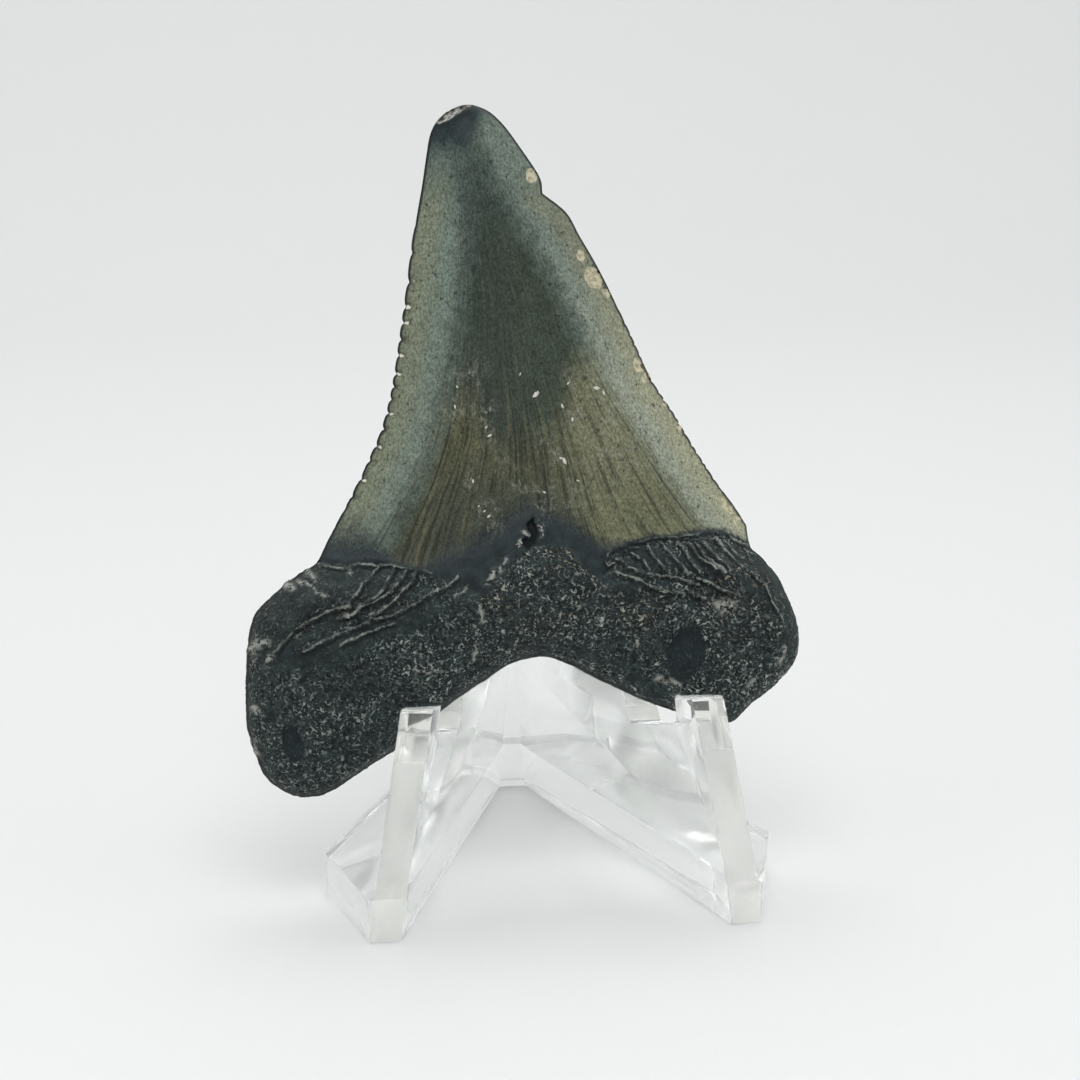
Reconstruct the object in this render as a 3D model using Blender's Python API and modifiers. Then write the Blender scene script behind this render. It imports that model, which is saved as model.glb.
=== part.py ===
"""Fossil shark tooth at rest on its clear moulded easel.

The easel is one moulding: a V-shaped foot plate whose two walls lean inwards, with a cradle cut
in each wall. The tooth is one natural piece, crown and root grown together. It leans back in the
two cradles and is not fixed to them.

All sizes below are millimetres. The tooth and the easel face -Y, with +X to the viewer's right.
"""

import math

import bmesh
import bpy
import numpy as np
from mathutils import Matrix, Vector, noise
from mathutils.geometry import delaunay_2d_cdt

MM = 0.001
COLLECTION = "megalodon_tooth_on_easel"

# Where the easel's mirror plane and its own zero line along Y sit in the finished object.
EASEL_AT_X = 2.23
EASEL_AT_Y = -2.1

# ---- easel: foot plate --------------------------------------------------------------------
PLATE_THICK = 4.2
FOOT_FRONT_Y = -20.8
FOOT_OUTER_X = 18.6
HEEL_X = 21.8
HEEL_Y = -7.8
HEEL_ROUND = 2.0
REAR_HALF = 6.9
REAR_Y = 25.0
REAR_ROUND = 1.2

# ---- easel: the two walls -----------------------------------------------------------------
WALL_THICK = 3.0
WALL_SPLAY = 0.348
WALL_TILT = 0.11
SPINE_HALF = 1.4
SPINE_FRONT_Y = 20.0
SPINE_BACK_Y = 23.0
WALL_STOCK_TOP = 40.0
STOCK_MARGIN = 5.0
EDGE_BREAK = 0.22

# Side outline of a wall, as (y, z, corner radius), from the foot's toe up and round to the heel.
HEAD_TOP_Z = 21.7
SEAT_FRONT = (-14.3, 18.05)
SEAT_REAR = (-5.1, 14.95)
BACKREST_TOP = (0.35, 33.0)
SPINE_TOP_Z = 14.5
WALL_SIDE = (
    (FOOT_FRONT_Y, 0.0, 0.0),
    (FOOT_FRONT_Y, PLATE_THICK, 3.0),
    (-17.7, HEAD_TOP_Z, 0.55),
    (-14.4, 20.85, 0.55),
    (*SEAT_FRONT, 0.9),
    (*SEAT_REAR, 0.5),
    (*BACKREST_TOP, 1.3),
    (4.4, 32.2, 1.6),
    (SPINE_BACK_Y, SPINE_TOP_Z, 1.2),
    (SPINE_BACK_Y, 0.0, 0.0),
)

# ---- tooth: where it rests ----------------------------------------------------------------
LEAN_DEG = 17.0
REST_GAP = 0.35
LOWEST_POINT = 7.4

# Outline of the tooth seen square to its face, as (x, height up the tooth) from the lowest point
# of its longer lobe. Each run is a smooth curve; the runs meet at corners.
RIGHT_EDGE = (
    (19.8, 24.4), (18.4, 26.6), (17.0, 28.6), (14.9, 32.1), (12.9, 35.7), (11.0, 39.1),
    (9.7, 41.9), (8.1, 45.5), (6.2, 49.8), (4.5, 52.9), (3.3, 55.2), (1.3, 57.1),
)
TIP = ((1.3, 57.1), (1.0, 58.7), (-0.8, 61.6), (-2.3, 63.8), (-3.7, 65.2), (-5.5, 65.8),
       (-7.1, 65.4), (-8.4, 64.5), (-9.3, 63.0), (-9.8, 60.7))
LEFT_EDGE = (
    (-9.8, 60.7), (-10.4, 57.4), (-11.4, 52.9), (-12.2, 47.9), (-13.0, 43.4), (-13.8, 39.2),
    (-14.8, 35.5), (-16.5, 31.7), (-18.7, 27.6), (-20.6, 24.3),
)
ROOT = (
    (-20.6, 24.3), (-21.8, 22.2), (-23.8, 21.0), (-26.4, 19.1), (-28.1, 17.0), (-28.8, 13.6),
    (-29.0, 9.6), (-29.0, 6.8), (-28.3, 4.4), (-27.4, 2.1), (-25.8, 0.7), (-23.5, 0.0),
    (-21.4, 0.5), (-18.6, 2.1), (-15.8, 3.7), (-13.2, 5.6), (-9.2, 8.6), (-6.2, 10.4),
    (-3.6, 11.9), (-0.8, 12.4), (1.8, 11.6), (6.0, 9.3), (10.5, 7.2), (14.6, 5.8),
    (17.4, 5.4), (19.4, 7.0), (22.1, 9.0), (24.1, 11.2), (24.6, 13.7), (24.1, 16.3),
    (22.9, 19.3), (21.7, 21.1), (20.4, 22.1), (19.8, 24.4),
)

# Lower rim of the enamel on the face that shows.
ENAMEL_RIM = (
    (-21.8, 22.7), (-19.2, 22.1), (-16.5, 22.1), (-13.9, 21.4), (-11.1, 20.7), (-7.6, 21.7),
    (-4.4, 23.6), (-1.5, 25.1), (1.4, 24.0), (3.9, 22.4), (5.7, 22.0), (9.0, 23.1),
    (12.4, 23.4), (15.6, 23.7), (17.6, 23.5), (19.6, 22.8), (20.8, 22.4),
)

# ---- tooth: thickness ---------------------------------------------------------------------
CROWN_BULGE = 6.4
CROWN_BULGE_AT_TIP = 1.7
CROWN_LOW = 22.0
CROWN_HIGH = 65.0
HALF_WIDTH_HEIGHTS = (22.0, 40.0, 57.0, 63.0, 65.8)
HALF_WIDTHS = (16.0, 11.5, 6.2, 4.2, 2.2)
CUTTING_EDGE_DEPTH = 2.4
TIP_EDGE_DEPTH = 3.3
BACK_HOLLOW = 0.75
ROOT_TO_CROWN = (3.0, 4.5)
ROOT_RIM_DEPTH = 4.9
ROOT_BULGE = 4.4
ROOT_ROUND = 5.2
ROOT_BACK = 4.1
BOSS = (0.2, 19.4, 8.5, 5.2, 1.5)
ENAMEL_STEP = 0.32

# Hollows in the face: x, height, half width, half length, turn in degrees, depth.
HOLLOWS = (
    (12.6, 12.1, 1.8, 2.7, -20.0, 0.9),
    (-24.9, 5.2, 1.5, 2.0, 15.0, 0.7),
    (-1.9, 23.7, 0.55, 1.5, -5.0, 0.7),
    (-22.2, 16.6, 0.9, 3.2, -58.0, 0.5),
)

# Chips along the right cutting edge and the worn flat on the tip, as hollows.
CHIPS = (
    (0.2, 58.8, 0.7, 0.9, 10.0, 0.3),
    (6.0, 48.9, 0.8, 1.0, 25.0, 0.35),
    (10.7, 39.0, 0.7, 0.9, 25.0, 0.3),
    (-7.2, 64.6, 1.0, 2.0, -60.0, 0.7),
)

# Ridges below the enamel. On the left they run down to the edge of the lobe. On the right two
# run along the shoulder and a row of short ones slants down to them.
RIDGE_HEIGHT = 0.45
RIDGE_WIDTH = 0.45
LONG_RIDGES = (
    ((-16.2, 21.5), (-18.5, 18.9), (-22.8, 17.0), (-26.4, 13.8)),
    ((-14.9, 21.3), (-17.2, 18.5), (-23.1, 14.4)),
    ((-13.5, 20.7), (-16.6, 17.6), (-20.8, 15.3)),
    ((-12.5, 21.1), (-14.1, 18.9), (-17.1, 17.0)),
    ((-8.8, 20.3), (-13.3, 17.7), (-20.5, 15.0)),
    ((5.7, 21.1), (8.7, 19.8), (13.1, 19.1)),
    ((6.2, 19.9), (10.5, 18.3), (14.9, 17.2)),
)
SHORT_RIDGE_COUNT = 6
SHORT_RIDGE_FIRST = (9.3, 22.4)
SHORT_RIDGE_LAST = (16.8, 22.7)
SHORT_RIDGE_RUN = (2.3, -2.8)

# Lumps of the root, as (wavelength, height) pairs, and the pattern's fixed place in the noise.
LUMPS = ((4.2, 0.30), (1.9, 0.16))
NOISE_AT = Vector((3.7, 11.2, 5.9))

# ---- tooth: cutting edges -----------------------------------------------------------------
SERRATION_PITCH = 1.45
SERRATION_DEPTH = 0.2
SERRATION_FADE = 6.0
WORN_EDGE = 0.7
SAMPLES_PER_SERRATION = 4

# ---- tooth: mesh spacing ------------------------------------------------------------------
FACE_SPACING = 0.77
BACK_SPACING = 1.9
ROOT_EDGE_SPACING = 0.75
TIP_SPACING = 0.6


# ================================ small helpers ================================

def clear_scene():
    for thing in list(bpy.data.objects):
        bpy.data.objects.remove(thing, do_unlink=True)


def new_collection(name):
    made = bpy.data.collections.new(name)
    bpy.context.scene.collection.children.link(made)
    return made


def principled(name, colour, roughness, metallic=0.0, transmission=0.0, ior=1.5):
    material = bpy.data.materials.new(name)
    material.use_nodes = True
    shader = material.node_tree.nodes["Principled BSDF"]
    shader.inputs["Base Color"].default_value = (*colour, 1.0)
    shader.inputs["Roughness"].default_value = roughness
    shader.inputs["Metallic"].default_value = metallic
    shader.inputs["Transmission Weight"].default_value = transmission
    shader.inputs["IOR"].default_value = ior
    return material


def object_from_bmesh(bm, name, collection, material=None):
    """Finish a millimetre bmesh as a metre object."""
    bmesh.ops.transform(bm, matrix=Matrix.Scale(MM, 4), verts=bm.verts)
    bmesh.ops.recalc_face_normals(bm, faces=bm.faces)
    mesh = bpy.data.meshes.new(name)
    bm.to_mesh(mesh)
    bm.free()
    made = bpy.data.objects.new(name, mesh)
    collection.objects.link(made)
    if material:
        mesh.materials.append(material)
    return made


def rounded_outline(corners, steps=4):
    """Closed 2D outline whose corners (a, b, radius) are turned into arcs."""
    outline = []
    count = len(corners)
    for i, (a, b, radius) in enumerate(corners):
        here = Vector((a, b))
        if radius <= 0:
            outline.append(here)
            continue
        before = (Vector(corners[i - 1][:2]) - here).normalized()
        after = (Vector(corners[(i + 1) % count][:2]) - here).normalized()
        half = before.angle(after) / 2
        reach = radius / math.tan(half)
        centre = here + (before + after).normalized() * (radius / math.sin(half))
        first = here + before * reach - centre
        last = here + after * reach - centre
        for k in range(steps + 1):
            spoke = first.normalized().slerp(last.normalized(), k / steps) * radius
            outline.append(centre + spoke)
    return outline


def prism(bm, ring_low, ring_high):
    """Closed solid between two rings of points with the same count."""
    low = [bm.verts.new(p) for p in ring_low]
    high = [bm.verts.new(p) for p in ring_high]
    bm.faces.new(low)
    bm.faces.new(high)
    for i in range(len(low)):
        j = (i + 1) % len(low)
        bm.faces.new((low[i], low[j], high[j], high[i]))


def smooth_run(points, spacing):
    """Points about `spacing` apart along a Catmull-Rom curve, without the last one."""
    knots = [Vector(p) for p in points]
    knots = [2 * knots[0] - knots[1], *knots, 2 * knots[-1] - knots[-2]]
    fine = []
    for a, b, c, d in zip(knots, knots[1:], knots[2:], knots[3:]):
        for k in range(16):
            t = k / 16
            fine.append(0.5 * (2 * b + (c - a) * t + (2 * a - 5 * b + 4 * c - d) * t ** 2
                               + (3 * b - a - 3 * c + d) * t ** 3))
    fine.append(knots[-2])
    fine = np.array(fine)
    run = np.concatenate(([0.0], np.cumsum(np.linalg.norm(np.diff(fine, axis=0), axis=1))))
    count = max(2, round(run[-1] / spacing))
    at = np.linspace(0.0, run[-1], count + 1)[:-1]
    return np.stack((np.interp(at, run, fine[:, 0]), np.interp(at, run, fine[:, 1])), axis=1)


def soft_step(value):
    value = np.clip(value, 0.0, 1.0)
    return value * value * (3.0 - 2.0 * value)


# ================================ easel ================================

def wall_stock(bm):
    """One wall and its half of the spine, leaning inwards, past the mirror plane."""
    far = FOOT_FRONT_Y - STOCK_MARGIN
    inner_far = SPINE_HALF + (SPINE_FRONT_Y - far) * WALL_SPLAY
    past_mirror = -WALL_TILT * WALL_STOCK_TOP
    back = SPINE_BACK_Y + STOCK_MARGIN
    inner_back = SPINE_HALF + (SPINE_FRONT_Y - back) * WALL_SPLAY
    plan = (
        (inner_far, far),
        (inner_far + WALL_THICK, far),
        (inner_back + WALL_THICK, back),
        (past_mirror, back),
        (past_mirror, SPINE_FRONT_Y),
        (SPINE_HALF, SPINE_FRONT_Y),
    )
    low = -STOCK_MARGIN
    base = [(x - WALL_TILT * low, y, low) for x, y in plan]
    top = [(x - WALL_TILT * WALL_STOCK_TOP, y, WALL_STOCK_TOP) for x, y in plan]
    prism(bm, base, top)


def wall_side_stock(bm):
    """The wall's side outline, as a bar along X that keeps what lies inside it."""
    outline = rounded_outline(WALL_SIDE)
    reach = HEEL_X + STOCK_MARGIN
    prism(bm, [(-reach, p.x, p.y) for p in outline], [(reach, p.x, p.y) for p in outline])


def foot_plate(bm):
    """Half of the V-shaped foot plate, past the mirror plane; its inner side lies in the wall."""
    inside = WALL_THICK / 2
    front_inner = SPINE_HALF + (SPINE_FRONT_Y - FOOT_FRONT_Y) * WALL_SPLAY + inside
    outline = rounded_outline((
        (front_inner, FOOT_FRONT_Y, 0.0),
        (FOOT_OUTER_X, FOOT_FRONT_Y, 0.4),
        (HEEL_X, HEEL_Y, HEEL_ROUND),
        (REAR_HALF, REAR_Y, REAR_ROUND),
        (-inside, REAR_Y, 0.0),
        (-inside, SPINE_FRONT_Y + inside, 0.0),
        (SPINE_HALF + inside, SPINE_FRONT_Y + inside, 0.0),
    ))
    prism(bm, [(p.x, p.y, 0.0) for p in outline], [(p.x, p.y, PLATE_THICK) for p in outline])


def boolean(target, cutter, operation):
    modifier = target.modifiers.new(cutter.name, "BOOLEAN")
    modifier.operation = operation
    modifier.solver = "EXACT"
    modifier.object = cutter


def make_easel(parts, cutters, home):
    clear_plastic = principled("clear_plastic", (0.96, 0.97, 0.96), 0.05, 0.0, 1.0, 1.49)
    bm = bmesh.new()
    wall_stock(bm)
    easel = object_from_bmesh(bm, "easel", parts, clear_plastic)

    helpers = []
    for name, draw in (("wall_side_outline", wall_side_stock), ("foot_plate_half", foot_plate)):
        bm = bmesh.new()
        draw(bm)
        helper = object_from_bmesh(bm, name, cutters)
        helper.hide_render = True
        helper.display_type = "WIRE"
        helpers.append(helper)
    boolean(easel, helpers[0], "INTERSECT")
    boolean(easel, helpers[1], "UNION")

    mirror = easel.modifiers.new("other_half", "MIRROR")
    mirror.use_axis = (True, False, False)
    mirror.use_bisect_axis = (True, False, False)
    mirror.merge_threshold = 0.00001
    bevel = easel.modifiers.new("broken_edges", "BEVEL")
    bevel.width = EDGE_BREAK * MM
    bevel.segments = 1
    bevel.limit_method = "ANGLE"
    bevel.angle_limit = math.radians(35)
    for thing in (easel, *helpers):
        thing.parent = home


# ================================ tooth ================================

def cutting_edge(points, strength):
    """A cutting edge with small rounded serrations that fade out at both ends."""
    spacing = SERRATION_PITCH / SAMPLES_PER_SERRATION
    line = smooth_run(points, spacing)
    along = np.arange(len(line)) * spacing
    fade = soft_step(along / SERRATION_FADE) * soft_step((along[-1] - along) / SERRATION_FADE)
    notch = np.maximum(0.0, np.cos(2 * math.pi * along / SERRATION_PITCH)) ** 2
    ahead = np.roll(line, -1, axis=0) - np.roll(line, 1, axis=0)
    ahead[0] = line[1] - line[0]
    ahead[-1] = line[-1] - line[-2]
    ahead /= np.linalg.norm(ahead, axis=1)[:, None]
    inward = np.stack((-ahead[:, 1], ahead[:, 0]), axis=1)
    return line + inward * (notch * fade * SERRATION_DEPTH * strength)[:, None]


def tooth_outline():
    """Outline of the tooth, anticlockwise, seen from the front."""
    return np.concatenate((
        cutting_edge(RIGHT_EDGE, WORN_EDGE),
        smooth_run(TIP, TIP_SPACING),
        cutting_edge(LEFT_EDGE, 1.0),
        smooth_run(ROOT, ROOT_EDGE_SPACING),
    ))


def nearest_segment(points, line, closed):
    """Distance from each point to a line of points."""
    starts = line if closed else line[:-1]
    ends = np.roll(line, -1, axis=0) if closed else line[1:]
    best = np.full(len(points), np.inf)
    for a, b in zip(starts, ends):
        step = b - a
        share = np.clip(((points - a) @ step) / (step @ step), 0.0, 1.0)
        best = np.minimum(best, np.linalg.norm(points - a - share[:, None] * step, axis=1))
    return best


def inside_outline(points, outline):
    x, y = points.T
    inside = np.zeros(len(points), dtype=bool)
    for (ax, ay), (bx, by) in zip(outline, np.roll(outline, -1, axis=0)):
        spans = (ay > y) != (by > y)
        inside ^= spans & (x < ax + (y - ay) * (bx - ax) / (by - ay if by != ay else 1.0))
    return inside


def filled_sheet(outline, spacing):
    """Points and triangles of a flat sheet inside the outline; the outline's points come first."""
    low = outline.min(axis=0)
    high = outline.max(axis=0)
    rows = np.arange(low[1], high[1], spacing * math.sqrt(3) / 2)
    grid = [(x + (i % 2) * spacing / 2, y) for i, y in enumerate(rows)
            for x in np.arange(low[0], high[0], spacing)]
    grid = np.array(grid)
    grid = grid[inside_outline(grid, outline)]
    grid = grid[nearest_segment(grid, outline, True) > spacing * 0.55]
    points = np.concatenate((outline, grid))
    edges = [(i, (i + 1) % len(outline)) for i in range(len(outline))]
    found = delaunay_2d_cdt([Vector(p) for p in points], edges, [], 1, 1e-6)
    return np.array([tuple(p) for p in found[0]]), [tuple(face) for face in found[2]]


def enamel_rim_height(x):
    rim = smooth_run(ENAMEL_RIM, 0.5)
    return np.interp(x, rim[:, 0], rim[:, 1])


def crown_half_width(height):
    """Greatest distance from the cutting edges at each height."""
    return np.interp(height, HALF_WIDTH_HEIGHTS, HALF_WIDTHS)


def hollow_depth(points, hollows):
    total = np.zeros(len(points))
    for x, height, half_width, half_length, turn, depth in hollows:
        turn = math.radians(turn)
        across = (points[:, 0] - x) * math.cos(turn) + (points[:, 1] - height) * math.sin(turn)
        along = (points[:, 1] - height) * math.cos(turn) - (points[:, 0] - x) * math.sin(turn)
        reach = np.sqrt((across / half_width) ** 2 + (along / half_length) ** 2)
        total += depth * soft_step((1.35 - reach) / 0.9)
    return total


def ridge_lines():
    lines = [np.array(line) for line in LONG_RIDGES]
    for share in np.linspace(0.0, 1.0, SHORT_RIDGE_COUNT):
        top = np.array(SHORT_RIDGE_FIRST) * (1.0 - share) + np.array(SHORT_RIDGE_LAST) * share
        lines.append(np.array([top, top + np.array(SHORT_RIDGE_RUN)]))
    return lines


def ridge_height(points):
    """Raised ridges below the enamel on both shoulders."""
    total = np.zeros(len(points))
    for line in ridge_lines():
        gap = nearest_segment(points, line, False)
        total = np.maximum(total, RIDGE_HEIGHT * np.exp(-(gap / RIDGE_WIDTH) ** 2))
    return total


def lumps(points, side):
    """Uneven surface of the root, from fixed smooth noise."""
    total = np.zeros(len(points))
    for wavelength, height in LUMPS:
        for i, (x, y) in enumerate(points):
            place = Vector((x, y, side * 9.0)) / wavelength + NOISE_AT
            total[i] += height * noise.noise(place)
    return total


def root_share(points):
    """0 on the enamel, 1 on the root."""
    return soft_step((enamel_rim_height(points[:, 0]) - points[:, 1]) / 1.2 + 0.5)


def root_swell(points):
    """0 well above the enamel's lower rim, 1 on the root: the swell runs out under the enamel."""
    above, run = ROOT_TO_CROWN
    return soft_step((enamel_rim_height(points[:, 0]) + above - points[:, 1]) / run)


def rim_depth(points):
    """How far the outline stands in front of the flat back."""
    height = points[:, 1]
    near_tip = soft_step(2.0 * (height - CROWN_LOW) / (CROWN_HIGH - CROWN_LOW) - 1.0)
    crown = CUTTING_EDGE_DEPTH + (TIP_EDGE_DEPTH - CUTTING_EDGE_DEPTH) * near_tip
    return crown + (ROOT_RIM_DEPTH - crown) * root_swell(points)


def face_depth(points, to_edge):
    """Depth of the face that shows, in front of the flat back."""
    height = points[:, 1]
    rim = rim_depth(points)
    up = np.clip((height - CROWN_LOW) / (CROWN_HIGH - CROWN_LOW), 0.0, 1.0)
    bulge = CROWN_BULGE + (CROWN_BULGE_AT_TIP - CROWN_BULGE) * up ** 0.8
    share = np.clip(to_edge / crown_half_width(height), 0.0, 1.0)
    crown = bulge * (1.0 - (1.0 - share) ** 2.2) ** 0.9

    turn = np.clip(to_edge / ROOT_ROUND, 0.0, 1.0)
    x, y, half_x, half_y, boss = BOSS
    off = ((points[:, 0] - x) / half_x) ** 2 + ((height - y) / half_y) ** 2
    swell = ROOT_BULGE + boss * np.exp(-off)
    edge_on = np.sqrt(1.0 - (1.0 - turn) ** 2)
    relief = ridge_height(points) + lumps(points, 1.0) - hollow_depth(points, HOLLOWS)
    root = swell * edge_on

    smooth = rim + crown + (root - crown) * root_swell(points)
    fine = relief * soft_step(to_edge / 1.2) - ENAMEL_STEP
    share = root_share(points)
    return smooth + fine * share - hollow_depth(points, CHIPS) * (1.0 - share)


def back_depth(points, to_edge):
    """Depth of the flatter back; zero is the plane that leans on the easel."""
    height = points[:, 1]
    rim = rim_depth(points)
    share = np.clip(to_edge / crown_half_width(height), 0.0, 1.0)
    crown = rim * (1.0 - BACK_HOLLOW * (1.0 - (1.0 - share) ** 2))
    turn = np.clip(to_edge / ROOT_ROUND, 0.0, 1.0)
    settled = rim - ROOT_BACK * np.sqrt(1.0 - (1.0 - turn) ** 2) + lumps(points, -1.0) * turn
    return crown + (settled - crown) * root_swell(points)


def make_tooth(parts, home):
    fossil = principled("fossil_enamel_and_root", (0.065, 0.075, 0.065), 0.45)
    outline = tooth_outline()
    bm = bmesh.new()
    rim = None
    for spacing, depth in ((FACE_SPACING, face_depth), (BACK_SPACING, back_depth)):
        flat, triangles = filled_sheet(outline, spacing)
        to_edge = nearest_segment(flat, outline, True)
        to_edge[:len(outline)] = 0.0
        out = depth(flat, to_edge)
        out[:len(outline)] = rim_depth(flat[:len(outline)])
        made = [bm.verts.new((x, y, z)) for (x, y), z in zip(flat[len(outline):], out[len(outline):])]
        if rim is None:
            rim = [bm.verts.new((x, y, z)) for (x, y), z in zip(flat[:len(outline)], out)]
        corners = rim + made
        for face in triangles:
            bm.faces.new([corners[i] for i in face])

    # The sheet's x, height and depth become the leaning tooth's X, Y and Z.
    lean = math.radians(LEAN_DEG)
    up = Vector((0.0, math.sin(lean), math.cos(lean)))
    forward = Vector((0.0, -math.cos(lean), math.sin(lean)))
    backrest = Vector((0.0, *SEAT_REAR))
    stand_off = forward.dot(backrest) + REST_GAP
    for vert in bm.verts:
        x, height, depth = vert.co
        vert.co = up * (height + LOWEST_POINT) + forward * (stand_off + depth)
        vert.co.x = x
    tooth = object_from_bmesh(bm, "tooth", parts, fossil)
    tooth.data.shade_smooth()
    tooth.data.set_sharp_from_angle(angle=math.radians(50))
    tooth.parent = home


def main():
    clear_scene()
    parts = new_collection(COLLECTION)
    cutters = new_collection("cutters")
    home = bpy.data.objects.new("display", None)
    home.location = (EASEL_AT_X * MM, EASEL_AT_Y * MM, 0.0)
    parts.objects.link(home)
    make_easel(parts, cutters, home)
    make_tooth(parts, home)


main()
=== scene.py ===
"""Fossil megalodon tooth at rest on its clear moulded easel: fine surfaces, finishes, light, camera.

The tooth is cut from a flat sheet inside its outline, lifted into a face and a back, and carved by
a node tree that makes the serrations, the porous root and the fine furrows of the enamel. The
easel is one moulding with softly broken edges. Sizes below are millimetres unless a name says
otherwise; heights are measured up the leaning tooth from the lowest point of its longer lobe.
"""

import math

import bmesh
import bpy
import numpy as np
from mathutils import Matrix, Vector, noise
from mathutils.geometry import delaunay_2d_cdt
from mathutils.kdtree import KDTree


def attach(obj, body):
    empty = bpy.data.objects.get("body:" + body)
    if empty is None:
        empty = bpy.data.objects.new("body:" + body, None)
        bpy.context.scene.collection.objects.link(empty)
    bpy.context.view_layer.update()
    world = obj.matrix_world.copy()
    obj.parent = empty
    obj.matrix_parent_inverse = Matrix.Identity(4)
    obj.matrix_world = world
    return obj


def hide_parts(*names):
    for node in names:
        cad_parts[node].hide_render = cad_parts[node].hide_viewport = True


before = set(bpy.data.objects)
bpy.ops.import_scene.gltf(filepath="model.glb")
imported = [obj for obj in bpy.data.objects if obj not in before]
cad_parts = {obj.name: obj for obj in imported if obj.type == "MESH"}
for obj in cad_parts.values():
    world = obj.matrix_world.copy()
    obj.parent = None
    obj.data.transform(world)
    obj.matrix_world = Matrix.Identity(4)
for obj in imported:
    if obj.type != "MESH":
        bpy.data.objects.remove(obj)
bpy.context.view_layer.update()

MM = 0.001

# ---- where things stand -------------------------------------------------------------------
EASEL_AT = Vector((2.23, -2.1, 0.0))
LEAN_DEG = 17.0
LOWEST_POINT = 7.4    # up the slant from the table to the longer lobe
REST_GAP = 0.35       # between the tooth's back and the easel

# ---- easel, before it is moved to EASEL_AT; its mirror plane is x = 0 ------------------------
PLATE_THICK = 4.2
FOOT_FRONT_Y = -20.8
FOOT_OUTER_X = 18.6
HEEL = (21.8, -7.8, 2.0)    # x, y, corner radius
REAR_HALF = 6.9
REAR_Y = 25.0
REAR_ROUND = 1.2
WALL_THICK = 3.0
WALL_SPLAY = 0.348    # outwards per millimetre forwards
WALL_TILT = 0.11      # inwards per millimetre upwards
SPINE_HALF = 1.4
SPINE_FRONT_Y = 20.0
SPINE_BACK_Y = 23.0
WALL_STOCK_TOP = 40.0
STOCK_MARGIN = 5.0
SEAT_REAR = (-5.1, 14.95)
# Side view of a wall, as y, z and corner radius: front edge, lip, cradle, backrest, rear end.
WALL_SIDE = (
    (-20.8, 0.0, 0.0), (-20.8, 4.2, 3.0), (-17.7, 21.7, 0.55), (-14.4, 20.85, 0.55),
    (-14.3, 18.05, 0.9), (*SEAT_REAR, 0.5), (0.35, 33.0, 1.3), (4.4, 32.2, 1.6),
    (SPINE_BACK_Y, 14.5, 1.2), (SPINE_BACK_Y, 0.0, 0.0),
)
EASEL_EDGE = 0.28
CUT_FACE_TOP = (15.5, 18.5)    # the frosting of the front end faces fades out between these heights

# ---- tooth: outline as (x, height) ---------------------------------------------------------
RIGHT_EDGE = (
    (20.2, 24.4), (18.85, 26.6), (17.45, 28.6), (15.35, 32.1), (13.35, 35.7), (11.3, 39.1),
    (10.15, 41.9), (8.6, 45.5), (6.6, 49.8), (4.9, 52.9), (3.65, 55.2), (1.4, 57.1),
)
TIP = ((1.4, 57.1), (1.15, 58.7), (-0.65, 61.6), (-2.2, 63.8), (-3.7, 65.2), (-5.5, 65.8),
       (-7.1, 65.4), (-8.4, 64.5), (-9.3, 63.0), (-9.8, 60.7))
LEFT_EDGE = (
    (-9.8, 60.7), (-10.4, 57.4), (-11.4, 52.9), (-12.2, 47.9), (-13.0, 43.4), (-13.8, 39.2),
    (-14.8, 35.5), (-16.5, 31.7), (-18.7, 27.6), (-20.6, 24.3),
)
ROOT = (
    (-20.6, 24.3), (-21.8, 22.2), (-23.8, 21.0), (-26.4, 19.1), (-28.1, 17.0), (-28.8, 13.6),
    (-29.0, 9.6), (-29.0, 6.8), (-28.3, 4.4), (-27.4, 2.1), (-25.8, 0.7), (-23.5, 0.0),
    (-21.4, 0.5), (-18.6, 2.1), (-15.8, 3.7), (-13.2, 5.6), (-9.2, 8.6), (-6.2, 10.4),
    (-3.6, 11.9), (-0.8, 12.4), (1.8, 11.6), (6.0, 9.3), (10.5, 7.2), (14.6, 5.8),
    (17.4, 5.4), (19.4, 7.0), (22.1, 9.0), (24.0, 11.2), (24.4, 13.7), (23.8, 16.3),
    (22.5, 19.3), (21.3, 21.1), (20.4, 22.3), (20.2, 24.4),
)
# Heights of the notches between the serrations of each cutting edge.
RIGHT_NOTCHES = (
    27.2, 28.1, 29.0, 30.1, 30.6, 31.6, 32.3, 33.5, 34.5, 35.1, 35.9, 36.8, 37.5, 38.7, 40.3, 41.2,
    42.3, 43.2, 44.4, 45.8,
)
LEFT_NOTCHES = (
    27.5, 28.5, 30.2, 31.9, 33.3, 34.9, 36.4, 37.7, 38.9, 40.1, 41.9, 43.4, 45.0, 46.5, 48.9, 51.7,
    54.3,
)
ENAMEL_RIM = (
    (-21.8, 22.7), (-19.2, 22.1), (-16.5, 22.1), (-13.9, 21.4), (-11.1, 20.7), (-7.6, 21.7),
    (-4.4, 23.6), (-1.5, 25.1), (1.4, 24.0), (3.9, 22.4), (5.7, 22.0), (9.0, 23.1),
    (12.4, 23.4), (15.6, 23.7), (17.6, 23.5), (19.6, 22.8), (20.8, 22.4),
)
# Upper limit of the porous root: a smooth dark band lies between it and the enamel.
POROUS_RIM = (
    (-29.0, 23.0), (-22.0, 22.0), (-16.4, 21.5), (-12.0, 20.9), (-10.2, 19.9), (-8.0, 18.6),
    (-6.2, 18.6), (-5.2, 20.0), (-4.2, 21.2), (-2.7, 22.3), (-1.3, 22.7), (0.3, 22.8), (1.8, 22.2),
    (2.8, 21.1), (3.6, 20.0), (4.6, 19.6), (5.3, 20.4), (5.9, 22.2),
    (9.0, 23.1), (12.4, 23.4), (15.6, 23.7), (17.6, 23.5), (19.6, 22.8), (20.8, 22.4),
)
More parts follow.
